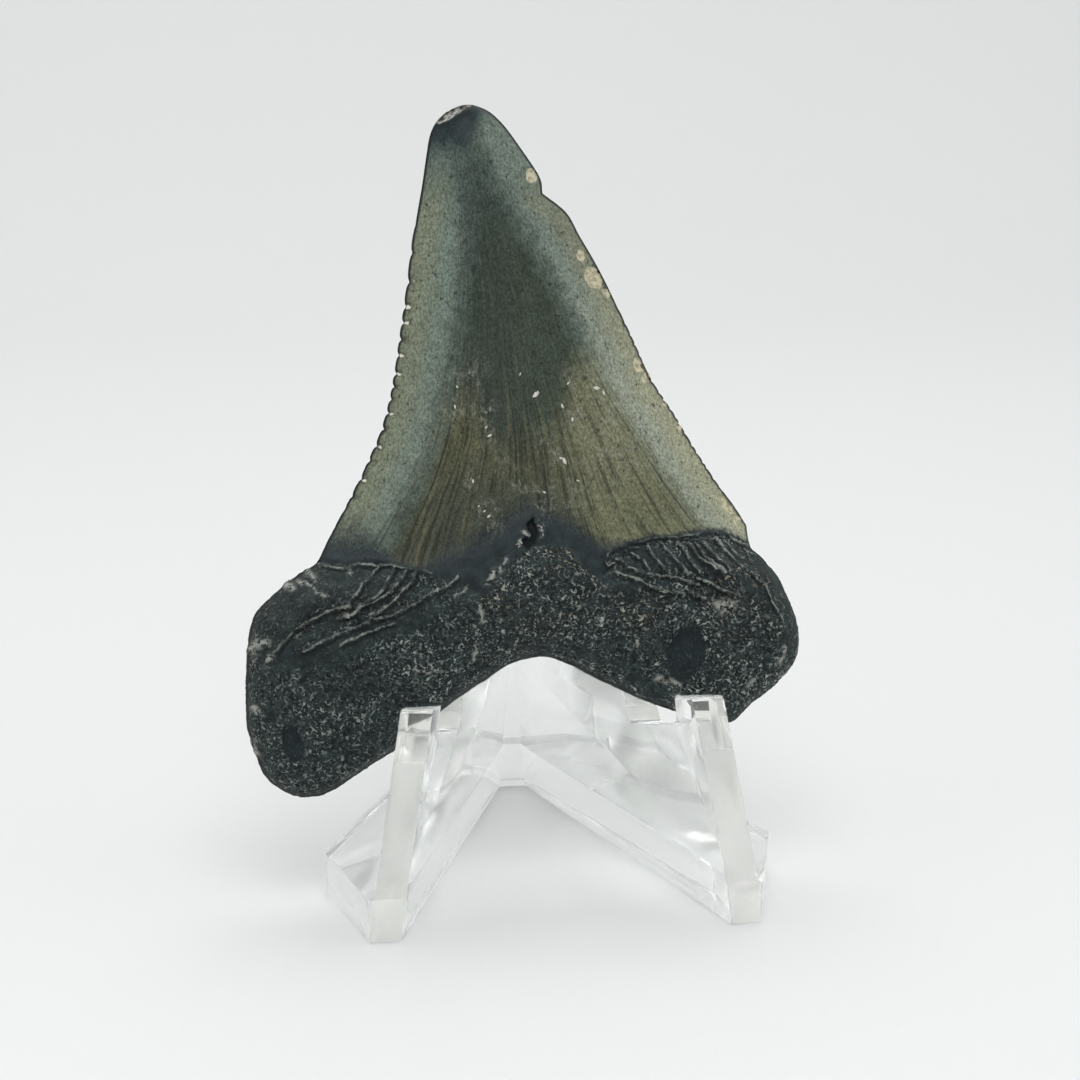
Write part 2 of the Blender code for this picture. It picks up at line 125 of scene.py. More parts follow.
# Inner limits of the pale bands along both cutting edges.
PALE_LEFT = (
    (-7.8, 66.0), (-7.4, 61.4), (-7.1, 56.6), (-7.3, 50.8), (-7.8, 45.0), (-9.1, 40.3),
    (-9.7, 36.0), (-10.6, 33.2), (-12.0, 30.4), (-13.6, 27.6), (-15.4, 25.0), (-17.6, 21.0),
    (-21.0, 15.0),
)
PALE_RIGHT = (
    (-5.3, 66.0), (-4.9, 62.0), (-2.0, 56.4), (0.6, 51.6), (2.7, 47.7), (4.9, 42.8),
    (7.2, 36.9), (9.9, 32.9), (13.4, 27.0), (15.9, 24.0), (19.4, 20.0), (23.4, 15.0),
)
ROUNDED_OVER = 4.5
# Upper limit of the olive ground between the pale bands; the middle above it is darker.
OLIVE_TOP = (
    (-20.0, 33.0), (-14.0, 35.0), (-10.5, 37.2), (-8.4, 38.2), (-6.6, 36.4), (-4.4, 33.6),
    (-1.9, 33.3), (0.2, 33.8), (1.7, 35.5), (2.6, 38.0), (4.0, 41.0), (6.0, 44.0), (9.0, 46.0),
    (20.0, 46.0),
)

# ---- tooth: thickness, measured forwards from the flat plane of the back --------------------
CROWN_BULGE = 6.4
CROWN_BULGE_AT_TIP = 1.7
BULGE_FALL = 0.8      # power with which the bulge falls off towards the tip
DOME_POWERS = (2.2, 0.9)
CROWN_LOW = 22.0
CROWN_HIGH = 65.0
HALF_WIDTH_HEIGHTS = (22.0, 40.0, 57.0, 63.0, 65.8)
HALF_WIDTHS = (16.0, 11.5, 6.2, 4.2, 2.2)
CUTTING_EDGE_DEPTH = 2.4
TIP_EDGE_DEPTH = 3.3
BACK_HOLLOW = 0.75
ROOT_TO_CROWN = (1.8, 6.0)    # how far above the enamel's rim the root's swell reaches, and its run
ROOT_RIM_DEPTH = 4.9
ROOT_BULGE = 4.4
ROOT_ROUND = 5.2
ROOT_BACK = 4.1
BOSS = (0.2, 19.4, 8.5, 5.2, 1.5)    # x, height, half width, half length, swell
ENAMEL_STEP = 0.32
RELIEF_FADE = 1.2     # the root's relief fades out this near the outline

# Hollows, as x, height, half width, half length, turn in degrees and depth.
ROOT_HOLLOWS = (
    (12.6, 12.1, 1.7, 2.6, -20.0, 1.0),
    (-24.9, 5.2, 0.9, 1.6, 15.0, 0.6),
    (-22.35, 16.7, 0.8, 3.0, -58.0, 0.5),
)
VESSEL_HOLES = (
    (-1.6, 24.4, 0.38, 1.2, -8.0, 0.7),
    (-2.2, 23.2, 0.3, 0.5, 20.0, 0.45),
)
CHIP_WOBBLE = ((1.0, 0.36), (0.45, 0.14))    # wavelength and reach of each noise
CHIPS = (
    (0.3, 58.7, 0.65, 0.85, 10.0, 0.32),
    (4.8, 50.9, 0.6, 0.7, 20.0, 0.24),
    (6.1, 48.8, 0.85, 1.1, 25.0, 0.38),
    (7.2, 47.4, 0.45, 0.55, 25.0, 0.25),
    (10.15, 40.2, 0.65, 0.85, 25.0, 0.34),
    (10.9, 38.9, 0.50, 0.45, 25.0, 0.28),
    (12.6, 36.4, 0.38, 0.45, 25.0, 0.22),
    (13.9, 34.2, 0.34, 0.40, 25.0, 0.18),
    (18.25, 26.4, 0.50, 1.00, 32.0, 0.30),
    (19.2, 24.8, 0.36, 0.50, 30.0, 0.20),
)
TIP_WEAR = (-6.9, 65.3, 0.62, 2.3, -64.0, 0.5)

# ---- tooth: ridges of the shoulders --------------------------------------------------------
RIDGE_HEIGHT = 0.25
RIDGE_WIDTH = 0.13
RIDGE_SHADE_AT = (0.20, -0.32)    # the shade of a ridge lies down its slope
RIDGE_WOBBLE = ((1.6, 0.26), (0.5, 0.10))
LEFT_RIDGES = (
    ((-15.9, 21.8), (-16.8, 20.8), (-17.9, 20.1), (-18.5, 18.9), (-19.5, 17.9), (-21.0, 17.5),
     (-22.5, 17.0), (-23.4, 16.5), (-24.4, 15.8), (-25.5, 14.7), (-25.9, 14.1), (-27.0, 13.1)),
    ((-14.7, 21.4), (-15.2, 20.4), (-16.0, 19.4), (-17.0, 18.6), (-18.1, 17.9), (-18.7, 17.3),
     (-19.6, 17.1)),
    ((-13.7, 21.1), (-14.5, 19.8), (-15.4, 19.1), (-16.2, 18.7), (-17.1, 18.1), (-18.2, 17.6),
     (-19.5, 17.0), (-20.4, 16.9)),
    ((-12.6, 21.2), (-13.0, 20.2), (-14.2, 19.0), (-15.2, 18.1), (-16.2, 17.4), (-17.2, 16.9)),
    ((-8.8, 20.3), (-9.7, 19.6), (-11.5, 18.7), (-12.5, 18.3), (-13.7, 17.6), (-15.1, 16.9),
     (-17.0, 16.7), (-18.1, 16.2), (-19.6, 15.6), (-20.5, 15.2), (-21.1, 14.9), (-23.8, 13.9)),
    ((-15.1, 16.1), (-16.3, 15.8), (-17.5, 15.5), (-18.8, 15.0), (-20.2, 14.3)),
    ((-21.7, 22.1), (-20.6, 21.8), (-19.1, 21.6), (-18.2, 22.0), (-17.2, 21.9), (-16.0, 21.7),
     (-15.0, 21.6), (-13.9, 21.4), (-12.4, 21.2), (-11.3, 20.6)),
)
RIGHT_RIDGES = (
    ((8.7, 21.2), (9.2, 20.3)),
    ((7.9, 22.1), (8.3, 21.4)),
    ((9.4, 22.6), (10.0, 21.5), (10.9, 20.2), (11.3, 19.8)),
    ((10.8, 22.8), (11.8, 21.6), (12.6, 20.5), (13.1, 19.7)),
    ((12.3, 22.9), (12.8, 22.3), (13.3, 21.1), (14.2, 20.0)),
    ((13.4, 22.6), (14.3, 21.4), (15.3, 20.8), (15.9, 20.1)),
    ((14.1, 22.8), (14.9, 21.5), (15.6, 20.9), (16.6, 19.6)),
    ((15.0, 22.8), (15.4, 22.2), (16.1, 21.2), (17.1, 20.2)),
    ((16.3, 23.0), (17.0, 22.1), (17.8, 21.1), (18.9, 20.2)),
    ((17.6, 22.6), (18.4, 21.5), (18.9, 21.1)),
    ((6.2, 21.4), (7.3, 20.7), (8.3, 20.2), (9.7, 19.8), (11.0, 19.6), (12.3, 19.3), (13.1, 19.0),
     (14.1, 18.6)),
    ((13.9, 19.3), (14.8, 19.0), (15.5, 18.7), (16.2, 18.2), (17.5, 17.6)),
    ((6.1, 20.0), (7.7, 19.7), (9.4, 18.7), (10.8, 18.1), (12.5, 17.8)),
    ((12.8, 18.3), (13.8, 17.7), (14.6, 17.3)),
    ((19.4, 19.8), (19.7, 19.3), (20.6, 18.5), (21.4, 16.7), (22.3, 14.8)),
    ((19.5, 22.1), (19.8, 20.6)),
    ((6.1, 21.0), (5.5, 20.7), (5.3, 21.3), (5.6, 22.0), (6.4, 22.6), (7.4, 22.9), (11.3, 23.4),
     (15.0, 23.6), (15.6, 23.8), (17.3, 23.7), (18.2, 23.1), (19.0, 22.7), (20.2, 22.5)),
)
# Smooth strips of the root, each with its half width.
CALM_STRIPS = (
    (((-27.0, 12.9), (-23.0, 13.2), (-18.5, 14.5), (-13.3, 16.4), (-8.8, 18.9), (-5.5, 20.6),
      (-3.6, 22.2)), 1.15),
    (((-25.6, 13.9), (-23.0, 15.3), (-20.4, 16.5)), 0.55),
    (((3.6, 21.0), (5.0, 19.6), (7.5, 18.4)), 0.7),
    (((18.6, 18.7), (20.0, 17.9), (20.9, 16.6)), 0.7),
    (((20.6, 20.4), (22.3, 17.0), (23.5, 13.8)), 0.5),
    (((2.0, 13.3), (6.5, 11.0), (10.0, 8.4)), 0.6),
    (((-26.4, 16.2), (-23.0, 19.0), (-18.5, 20.4)), 1.7),
    (((-18.0, 20.0), (-13.6, 20.2)), 1.2),
    (((8.6, 21.2), (13.0, 20.8), (18.0, 21.2)), 1.1),
    (((21.2, 19.6), (23.2, 15.6), (23.0, 12.6)), 0.9),
)
# Rubbed and chipped places of the root that show paler, each with its half width.
RUBS = (
    (((-24.8, 20.5), (-24.3, 19.9)), 0.35), (((-23.7, 20.5), (-22.5, 19.7)), 0.16),
    (((-22.9, 21.5), (-22.3, 20.7)), 0.20), (((-22.3, 19.4), (-21.4, 19.1)), 0.14),
    (((-28.4, 14.1), (-27.7, 14.7), (-26.9, 14.7)), 0.35), (((-26.5, 13.4), (-27.0, 12.9)), 0.25),
    (((-28.5, 8.6), (-27.9, 8.2)), 0.25), (((-28.6, 5.6), (-28.2, 4.6)), 0.22),
    (((-4.2, 22.0), (-4.8, 21.1), (-5.3, 20.4)), 0.13),
    (((-5.2, 20.6), (-5.7, 20.0), (-6.2, 19.5)), 0.3),
    (((-8.1, 19.3), (-9.2, 18.5)), 0.15), (((-6.9, 16.9), (-6.7, 16.1)), 0.25),
    (((-7.5, 13.7), (-7.5, 12.5)), 0.15), (((-13.4, 11.9), (-12.2, 11.4), (-10.8, 11.3)), 0.13),
    (((15.9, 16.5), (16.5, 16.8), (17.3, 16.6), (16.3, 16.0)), 0.32),
    (((10.0, 10.1), (10.6, 9.5)), 0.3), (((11.3, 9.5), (11.9, 9.2)), 0.28),
    (((15.7, 13.8), (15.8, 13.5)), 0.2), (((18.2, 8.4), (19.1, 9.6)), 0.14),
    (((21.8, 11.0), (22.3, 12.2)), 0.22), (((22.2, 9.6), (22.8, 10.1)), 0.25),
    (((-18.9, 21.2), (-18.8, 20.9)), 0.18),
    (((-3.0, 22.9), (-2.7, 23.5)), 0.17), (((-2.6, 24.3), (-2.3, 23.9)), 0.2),
    (((-0.8, 24.9), (-0.7, 24.3), (-0.8, 23.8)), 0.19),
)

LUMPS = ((4.2, 0.30), (1.9, 0.16))    # wavelength and height of each noise
NOISE_AT = Vector((3.7, 11.2, 5.9))
WOBBLE_SEED = 3

# ---- tooth: mesh spacing -------------------------------------------------------------------
FACE_FINE = 0.155
BACK_FINE = 0.30
EDGE_SPACING = 0.16
ROOT_EDGE_SPACING = 0.2
ROOT_RINGS = (0.03, 0.10, 0.21, 0.36, 0.55)    # rows of points just inside the root's outline
CLOSE_ABOVE_RIM = 0.7
CLOSE_BY_EDGE = 1.4
CLOSE_AT_TIP = 63.5
FAR_FROM_EDGE = 9.0

# Flakes of pale mineral stuck to the enamel, as x, height and length.
FLAKES = (
    (-0.5, 37.4, 0.72), (5.5, 37.9, 0.6), (6.2, 37.4, 0.42), (2.0, 36.2, 0.4),
    (2.9, 34.9, 0.4), (1.9, 30.9, 0.6), (1.6, 31.2, 0.35), (-5.1, 33.6, 0.42), (-8.2, 36.5, 0.35),
    (-6.9, 29.3, 0.35), (3.1, 29.0, 0.28), (-5.6, 25.9, 0.35), (-6.0, 26.4, 0.25), (-7.9, 38.4, 0.28),
    (-5.4, 34.4, 0.28), (2.7, 38.4, 0.3), (-1.9, 39.4, 0.25), (-0.2, 28.0, 0.3), (-6.5, 26.9, 0.22),
    (-2.8, 23.3, 0.36), (-2.4, 24.1, 0.34), (-0.8, 24.5, 0.4), (-0.7, 23.9, 0.3), (-3.0, 22.9, 0.28),
)
CRUMB_SHAPE = (0.36, 1.25, 0.26)    # width, length and thickness as shares of a flake's length
CRUMB_UNEVEN = 1.8
# Whitish bloom on the enamel, as x, height, reach and strength.
BLOOM = (
    (-7.0, 39.2, 1.3, 0.7), (-6.0, 39.9, 1.0, 0.5), (-8.1, 36.6, 1.2, 0.8), (-5.6, 36.0, 1.1, 0.9),
    (-6.2, 37.8, 0.8, 0.5), (-5.2, 33.4, 0.9, 0.8), (-6.9, 29.2, 1.0, 0.8), (-6.2, 32.0, 1.0, 0.5),
    (-5.6, 26.4, 1.1, 1.0), (-5.4, 25.3, 0.9, 1.0), (-0.3, 27.2, 1.2, 0.9), (-2.6, 28.6, 1.1, 0.7),
    (0.9, 32.3, 1.2, 0.8), (-0.2, 33.0, 0.7, 0.6), (2.9, 38.9, 0.8, 0.8), (3.2, 35.6, 1.0, 0.8),
    (2.9, 34.3, 0.9, 0.7), (6.0, 31.9, 1.6, 0.8), (5.9, 34.5, 1.3, 0.5), (8.5, 30.9, 0.9, 0.8),
    (3.2, 27.4, 1.3, 0.6), (3.5, 30.3, 0.9, 0.6), (-4.0, 30.8, 1.2, 0.4), (7.2, 28.6, 1.4, 0.4),
)


# ================================ drawing helpers ================================

def smooth_run(points, spacing):
    """Points about `spacing` apart along a Catmull-Rom curve, without the last one."""
    knots = [Vector(p) for p in points]
    knots = [2 * knots[0] - knots[1], *knots, 2 * knots[-1] - knots[-2]]
    fine = []
    for a, b, c, d in zip(knots, knots[1:], knots[2:], knots[3:]):
        for k in range(16):
            t = k / 16
            fine.append(0.5 * (2 * b + (c - a) * t + (2 * a - 5 * b + 4 * c - d) * t ** 2
                               + (3 * b - a - 3 * c + d) * t ** 3))
    fine.append(knots[-2])
    fine = np.array(fine)
    run = np.concatenate(([0.0], np.cumsum(np.linalg.norm(np.diff(fine, axis=0), axis=1))))
    count = max(2, round(run[-1] / spacing))
    at = np.linspace(0.0, run[-1], count + 1)[:-1]
    return np.stack((np.interp(at, run, fine[:, 0]), np.interp(at, run, fine[:, 1])), axis=1)


def soft_step(value):
    value = np.clip(value, 0.0, 1.0)
    return value * value * (3.0 - 2.0 * value)


def gap_to_line(points, line):
    """Distance from each point to an open line of points."""
    best = np.full(len(points), np.inf)
    for a, b in zip(line[:-1], line[1:]):
        step = b - a
        share = np.clip(((points - a) @ step) / (step @ step), 0.0, 1.0)
        best = np.minimum(best, np.linalg.norm(points - a - share[:, None] * step, axis=1))
    return best


def object_from_bmesh(bm, name):
    """Finish a millimetre bmesh as a metre object with its faces outwards."""
    bmesh.ops.transform(bm, matrix=Matrix.Scale(MM, 4), verts=bm.verts)
    bmesh.ops.recalc_face_normals(bm, faces=bm.faces)
    mesh = bpy.data.meshes.new(name)
    bm.to_mesh(mesh)
    bm.free()
    made = bpy.data.objects.new(name, mesh)
    bpy.context.scene.collection.objects.link(made)
    return made


def plain_mesh(thing, name):
    """Turn an object with modifiers into a plain mesh object at the origin."""
    view = bpy.context.evaluated_depsgraph_get()
    mesh = bpy.data.meshes.new_from_object(thing.evaluated_get(view), preserve_all_data_layers=True,
                                           depsgraph=view)
    made = bpy.data.objects.new(name, mesh)
    bpy.context.scene.collection.objects.link(made)
    bpy.data.objects.remove(thing, do_unlink=True)
    mesh.name = name
    return made


# ================================ node helpers ================================

def node(tree, kind, inputs=None, **settings):
    """Add a node; inputs given as sockets are linked, the others are set."""
    made = tree.nodes.new(kind)
    for name, value in settings.items():
        setattr(made, name, value)
    for name, value in (inputs or {}).items():
        socket = made.inputs[name]
        if isinstance(value, bpy.types.NodeSocket):
            tree.links.new(value, socket)
        else:
            socket.default_value = value
    return made


def calc(tree, operation, a, b=0.0, c=0.0, clamp=False):
    values = {0: a, 1: b, 2: c}
    made = node(tree, "ShaderNodeMath", values, operation=operation, use_clamp=clamp)
    return made.outputs[0]


def step_between(tree, value, low, high, low_out=0.0, high_out=1.0):
    """Smooth step of a value between two limits."""
    made = node(tree, "ShaderNodeMapRange", {"Value": value, "From Min": low, "From Max": high,
                                             "To Min": low_out, "To Max": high_out},
                interpolation_type="SMOOTHSTEP")
    return made.outputs["Result"]


def scaled(tree, vector, factors):
    made = node(tree, "ShaderNodeVectorMath", {0: vector, 1: factors}, operation="MULTIPLY")
    return made.outputs[0]


def grain(tree, vector, scale, detail=2.0, roughness=0.5, distortion=0.0):
    """Value of a smooth noise, around a half."""
    made = node(tree, "ShaderNodeTexNoise", {"Vector": vector, "Scale": scale, "Detail": detail,
                                             "Roughness": roughness, "Distortion": distortion})
    return made.outputs[0]


def thin_lines(tree, value, half_width):
    """1 where a noise crosses its middle value, 0 away from it."""
    off = calc(tree, "ABSOLUTE", calc(tree, "SUBTRACT", value, 0.5))
    return step_between(tree, off, 0.0, half_width, 1.0, 0.0)


def product(tree, *values):
    """All the values multiplied."""
    total = values[0]
    for value in values[1:]:
        total = calc(tree, "MULTIPLY", total, value)
    return total


def linear(red, green, blue):
    """Linear colour of a display colour given in 0 to 255."""
    def one(value):
        value /= 255.0
        return value / 12.92 if value <= 0.04045 else ((value + 0.055) / 1.055) ** 2.4
    return (one(red), one(green), one(blue), 1.0)


def blend(tree, share, first, second):
    """Mix two colours by a share."""
    made = node(tree, "ShaderNodeMix", None, data_type="RGBA", clamp_factor=True)
    for index, value in ((0, share), (6, first), (7, second)):
        if isinstance(value, bpy.types.NodeSocket):
            tree.links.new(value, made.inputs[index])
        else:
            made.inputs[index].default_value = value
    return made.outputs[2]


def new_material(name):
    """A node material, its tree and its shader."""
    material = bpy.data.materials.new(name)
    material.use_nodes = True
    shader = material.node_tree.nodes["Principled BSDF"]
    return material, material.node_tree, shader


def layer(tree, name):
    """Number stored on the mesh under a name."""
    return node(tree, "ShaderNodeAttribute", attribute_name=name).outputs["Fac"]


# ================================ tooth: shape ================================

class ToothOutline:
    """Outline of the tooth with what each of its points needs to know."""

    def __init__(self):
        runs = (
            (smooth_run(RIGHT_EDGE, EDGE_SPACING), RIGHT_NOTCHES, 0.45, 0.0),
            (smooth_run(TIP, EDGE_SPACING), LEFT_NOTCHES, 0.0, 0.0),
            (smooth_run(LEFT_EDGE, EDGE_SPACING), LEFT_NOTCHES, 1.0, 0.0),
            (smooth_run(ROOT, ROOT_EDGE_SPACING), LEFT_NOTCHES, 0.0, 1.0),
        )
        self.points = np.concatenate([run[0] for run in runs])
        self.is_root = np.concatenate([np.full(len(line), root) for line, _, _, root in runs])
        turns = []
        strength = []
        for line, notches, amount, _ in runs:
            height = line[:, 1]
            turns.append(np.interp(height, notches, np.arange(len(notches))))
            begin = soft_step((height - notches[0] + 1.0) / 3.0)
            end = soft_step((notches[-1] + 2.5 - height) / 7.0)
            strength.append(begin * end * amount)
        # One turn from each notch to the next, and how strongly the edge is serrated there.
        self.notch_turn = np.concatenate(turns)
        self.serrated = np.concatenate(strength)
        ahead = np.roll(self.points, -1, axis=0) - np.roll(self.points, 1, axis=0)
        ahead /= np.linalg.norm(ahead, axis=1)[:, None]
        self.inward = np.stack((-ahead[:, 1], ahead[:, 0]), axis=1)
        self.tree = KDTree(len(self.points))
        for i, (x, y) in enumerate(self.points):
            self.tree.insert((x, y, 0.0), i)
        self.tree.balance()

    def nearest(self, points):
        """Index of the nearest outline point, and the signed distance from the outline."""
        index = np.array([self.tree.find((x, y, 0.0))[1] for x, y in points])
        best = np.full(len(points), np.inf)
        count = len(self.points)
        for other in (index - 1, (index + 1) % count):
            a = self.points[index]
            step = self.points[other] - a
            share = np.clip(((points - a) * step).sum(1) / (step * step).sum(1), 0.0, 1.0)
            gap = np.linalg.norm(points - a - share[:, None] * step, axis=1)
            best = np.minimum(best, gap)
        side = ((points - self.points[index]) * self.inward[index]).sum(1)
        return index, np.where(side >= 0.0, best, -best)


def line_height(x, line):
    """Height of a line that runs across the tooth, at each x."""
    fine = smooth_run(line, 0.4)
    return np.interp(x, fine[:, 0], fine[:, 1])


def line_across(height, line):
    """x of a line that climbs the tooth, at each height."""
    fine = np.array(line)[::-1]
    return np.interp(height, fine[:, 1], fine[:, 0])


def rounded_across(height, line):
    """x of a climbing line with its corners rounded over a few millimetres."""
    reach = np.linspace(-ROUNDED_OVER, ROUNDED_OVER, 11)
    shares = 1.0 - np.abs(reach) / (1.2 * ROUNDED_OVER)
    across = sum(share * line_across(height + step, line) for share, step in zip(shares, reach))
    return across / shares.sum()


def wobbled(points, wobbles):
    """Points moved about by smooth noise of the given (wavelength, reach) pairs."""
    noise.seed_set(WOBBLE_SEED)
    moved = points.copy()
    for wavelength, reach in wobbles:
        for i, (x, y) in enumerate(points):
            push = noise.noise_vector(Vector((x, y, 0.0)) / wavelength + NOISE_AT)
            moved[i] += reach * push[0], reach * push[1]
    return moved


def crown_half_width(height):
    """Distance from the cutting edge at which the crown reaches its full bulge."""
    return np.interp(height, HALF_WIDTH_HEIGHTS, HALF_WIDTHS)


def hollow(points, marks, softness=0.9):
    """Summed depth of oval hollows, and the share of each point that lies in one."""
    total = np.zeros(len(points))
    share = np.zeros(len(points))
    for x, height, half_width, half_length, turn, depth in marks:
        turn = math.radians(turn)
        across = (points[:, 0] - x) * math.cos(turn) + (points[:, 1] - height) * math.sin(turn)
        along = (points[:, 1] - height) * math.cos(turn) - (points[:, 0] - x) * math.sin(turn)
        reach = np.sqrt((across / half_width) ** 2 + (along / half_length) ** 2)
        inside = soft_step((1.0 + softness / 2 - reach) / softness)
        total += depth * inside
        share = np.maximum(share, inside)
    return total, share


def ridge_share(points, moved=0.0):
    """1 on the crest of a shoulder ridge, 0 away from it; `moved` takes the ridges down their slope."""
    total = np.zeros(len(points))
    points = wobbled(points, RIDGE_WOBBLE)
    for lines, side in ((LEFT_RIDGES, 1.0), (RIGHT_RIDGES, -1.0)):
        shift = np.array((RIDGE_SHADE_AT[0] * side, RIDGE_SHADE_AT[1])) * moved
        for line in lines:
            gap = gap_to_line(points, np.array(line) + shift)
            total = np.maximum(total, np.exp(-(gap / RIDGE_WIDTH) ** 2))
    return total


def strip_share(points, strips):
    """1 on the middle line of a strip, falling off by its half width."""
    total = np.zeros(len(points))
    for line, half_width in strips:
        total = np.maximum(total, np.exp(-(gap_to_line(points, np.array(line)) / half_width) ** 2))
    return total


def bloom_share(points):
    """Strength of the whitish bloom; its patches are a little longer up the tooth."""
    total = np.zeros(len(points))
    for x, height, reach, strength in BLOOM:
        off = np.hypot(points[:, 0] - x, (points[:, 1] - height) * 0.8)
        total = np.maximum(total, strength * np.exp(-(off / reach) ** 2))
    return total


def lumps(points, side):
    """Low rolling lumps of the root; the two sides of the tooth have their own."""
    total = np.zeros(len(points))
    for wavelength, height in LUMPS:
        for i, (x, y) in enumerate(points):
            place = Vector((x, y, side * 9.0)) / wavelength + NOISE_AT
            total[i] += height * noise.noise(place)
    return total


def stepped_rim(x):
    """1 where the enamel ends in a step, at the shoulders, and 0 where it fades in the middle."""
    return np.maximum(soft_step((-10.2 - x) / 2.5), soft_step((x - 4.4) / 1.2))


def root_share(points):
    """0 on the enamel, 1 on the root."""
    width = 3.4 - 2.9 * stepped_rim(points[:, 0])
    return soft_step((line_height(points[:, 0], ENAMEL_RIM) - points[:, 1]) / width + 0.5)


def root_swell(points):
    """0 well above the enamel's lower rim, 1 on the root: the swell runs out under the enamel."""
    above, run = ROOT_TO_CROWN
    return soft_step((line_height(points[:, 0], ENAMEL_RIM) + above - points[:, 1]) / run)


def rim_depth(points):
    """How far the outline stands in front of the flat back."""
    height = points[:, 1]
    near_tip = soft_step(2.0 * (height - CROWN_LOW) / (CROWN_HIGH - CROWN_LOW) - 1.0)
    crown = CUTTING_EDGE_DEPTH + (TIP_EDGE_DEPTH - CUTTING_EDGE_DEPTH) * near_tip
    return crown + (ROOT_RIM_DEPTH - crown) * root_swell(points)


def face_depth(points, to_edge):
    """Depth of the face that shows, in front of the flat back."""
    height = points[:, 1]
    rim = rim_depth(points)
    up = np.clip((height - CROWN_LOW) / (CROWN_HIGH - CROWN_LOW), 0.0, 1.0)
    bulge = CROWN_BULGE + (CROWN_BULGE_AT_TIP - CROWN_BULGE) * up ** BULGE_FALL
    share = np.clip(to_edge / crown_half_width(height), 0.0, 1.0)
    steep, full = DOME_POWERS
    crown = bulge * (1.0 - (1.0 - share) ** steep) ** full

    turn = np.clip(to_edge / ROOT_ROUND, 0.0, 1.0)
    x, y, half_width, half_length, boss = BOSS
    off = ((points[:, 0] - x) / half_width) ** 2 + ((height - y) / half_length) ** 2
    root = (ROOT_BULGE + boss * np.exp(-off)) * np.sqrt(1.0 - (1.0 - turn) ** 2)
    smooth = rim + crown + (root - crown) * root_swell(points)

    relief = RIDGE_HEIGHT * ridge_share(points) + lumps(points, 1.0) - hollow(points, ROOT_HOLLOWS)[0]
    fine = relief * soft_step(to_edge / RELIEF_FADE) - ENAMEL_STEP * stepped_rim(points[:, 0])
    chipped = wobbled(points, CHIP_WOBBLE)
    worn = hollow(chipped, CHIPS + (TIP_WEAR,), 0.5)[0] + hollow(chipped, VESSEL_HOLES, 0.6)[0]
    return smooth + fine * root_share(points) - worn


def back_depth(points, to_edge):
    """Depth of the flatter back; zero is the plane that leans on the easel."""
    height = points[:, 1]
    rim = rim_depth(points)
    share = np.clip(to_edge / crown_half_width(height), 0.0, 1.0)
    crown = rim * (1.0 - BACK_HOLLOW * (1.0 - (1.0 - share) ** 2))
    turn = np.clip(to_edge / ROOT_ROUND, 0.0, 1.0)
    settled = rim - ROOT_BACK * np.sqrt(1.0 - (1.0 - turn) ** 2) + lumps(points, -1.0) * turn
    return crown + (settled - crown) * root_swell(points)


def sheet_grid(outline, fine):
    """Loose points inside the outline: close on the root and along the edges, wider elsewhere."""
    low = outline.points.min(axis=0)
    high = outline.points.max(axis=0)
    rows = np.arange(low[1], high[1], fine * math.sqrt(3) / 2)
    columns = np.arange(low[0], high[0], fine)
    across, up = np.meshgrid(np.arange(len(columns)), np.arange(len(rows)))
    shift = np.where(up % 4 < 2, (up % 2) * 0.5, 1.0 - (up % 2) * 0.5)
    points = np.stack(((columns[across] + shift * fine).ravel(), rows[up].ravel()), axis=1)
    wide = ((up % 2 == 0) & (across % 2 == 0)).ravel()
    index, gap = outline.nearest(points)
    on_root = points[:, 1] < line_height(points[:, 0], ENAMEL_RIM) + CLOSE_ABOVE_RIM
    close = on_root | (gap < CLOSE_BY_EDGE) | (points[:, 1] > CLOSE_AT_TIP)
    least = np.where(outline.is_root[index] > 0.5, ROOT_RINGS[-1] + 0.08, fine * 0.55)
    keep = (gap > least) & (close | wide)
    return points[keep]


def tooth_sheet(outline, fine, rings):
    """Points and triangles of a flat sheet; the outline's points come first."""
    loose = [sheet_grid(outline, fine)]
    for inset in rings:
        ring = (outline.points + outline.inward * inset)[outline.is_root > 0.5]
        _, gap = outline.nearest(ring)
        loose.append(ring[gap > inset * 0.8])
    points = np.concatenate((outline.points, *loose))
    count = len(outline.points)
    edges = [(i, (i + 1) % count) for i in range(count)]
    found = delaunay_2d_cdt([Vector(p) for p in points], edges, [], 1, 1e-7)
    return np.array([tuple(p) for p in found[0]]), [tuple(face) for face in found[2]]


def lean_frame():
    """Directions up the tooth and out of its face, and how far its back plane stands off."""
    lean = math.radians(LEAN_DEG)
    up = np.array((0.0, math.sin(lean), math.cos(lean)))
    forward = np.array((0.0, -math.cos(lean), math.sin(lean)))
    stand_off = forward @ np.array((0.0, *SEAT_REAR)) + REST_GAP
    return up, forward, stand_off


def into_place(places):
    """World position in millimetres of tooth places (x, height, depth)."""
    up, forward, stand_off = lean_frame()
    world = np.outer(places[:, 1] + LOWEST_POINT, up) + np.outer(stand_off + places[:, 2], forward)
    world[:, 0] += places[:, 0]
    return world + np.array(EASEL_AT)


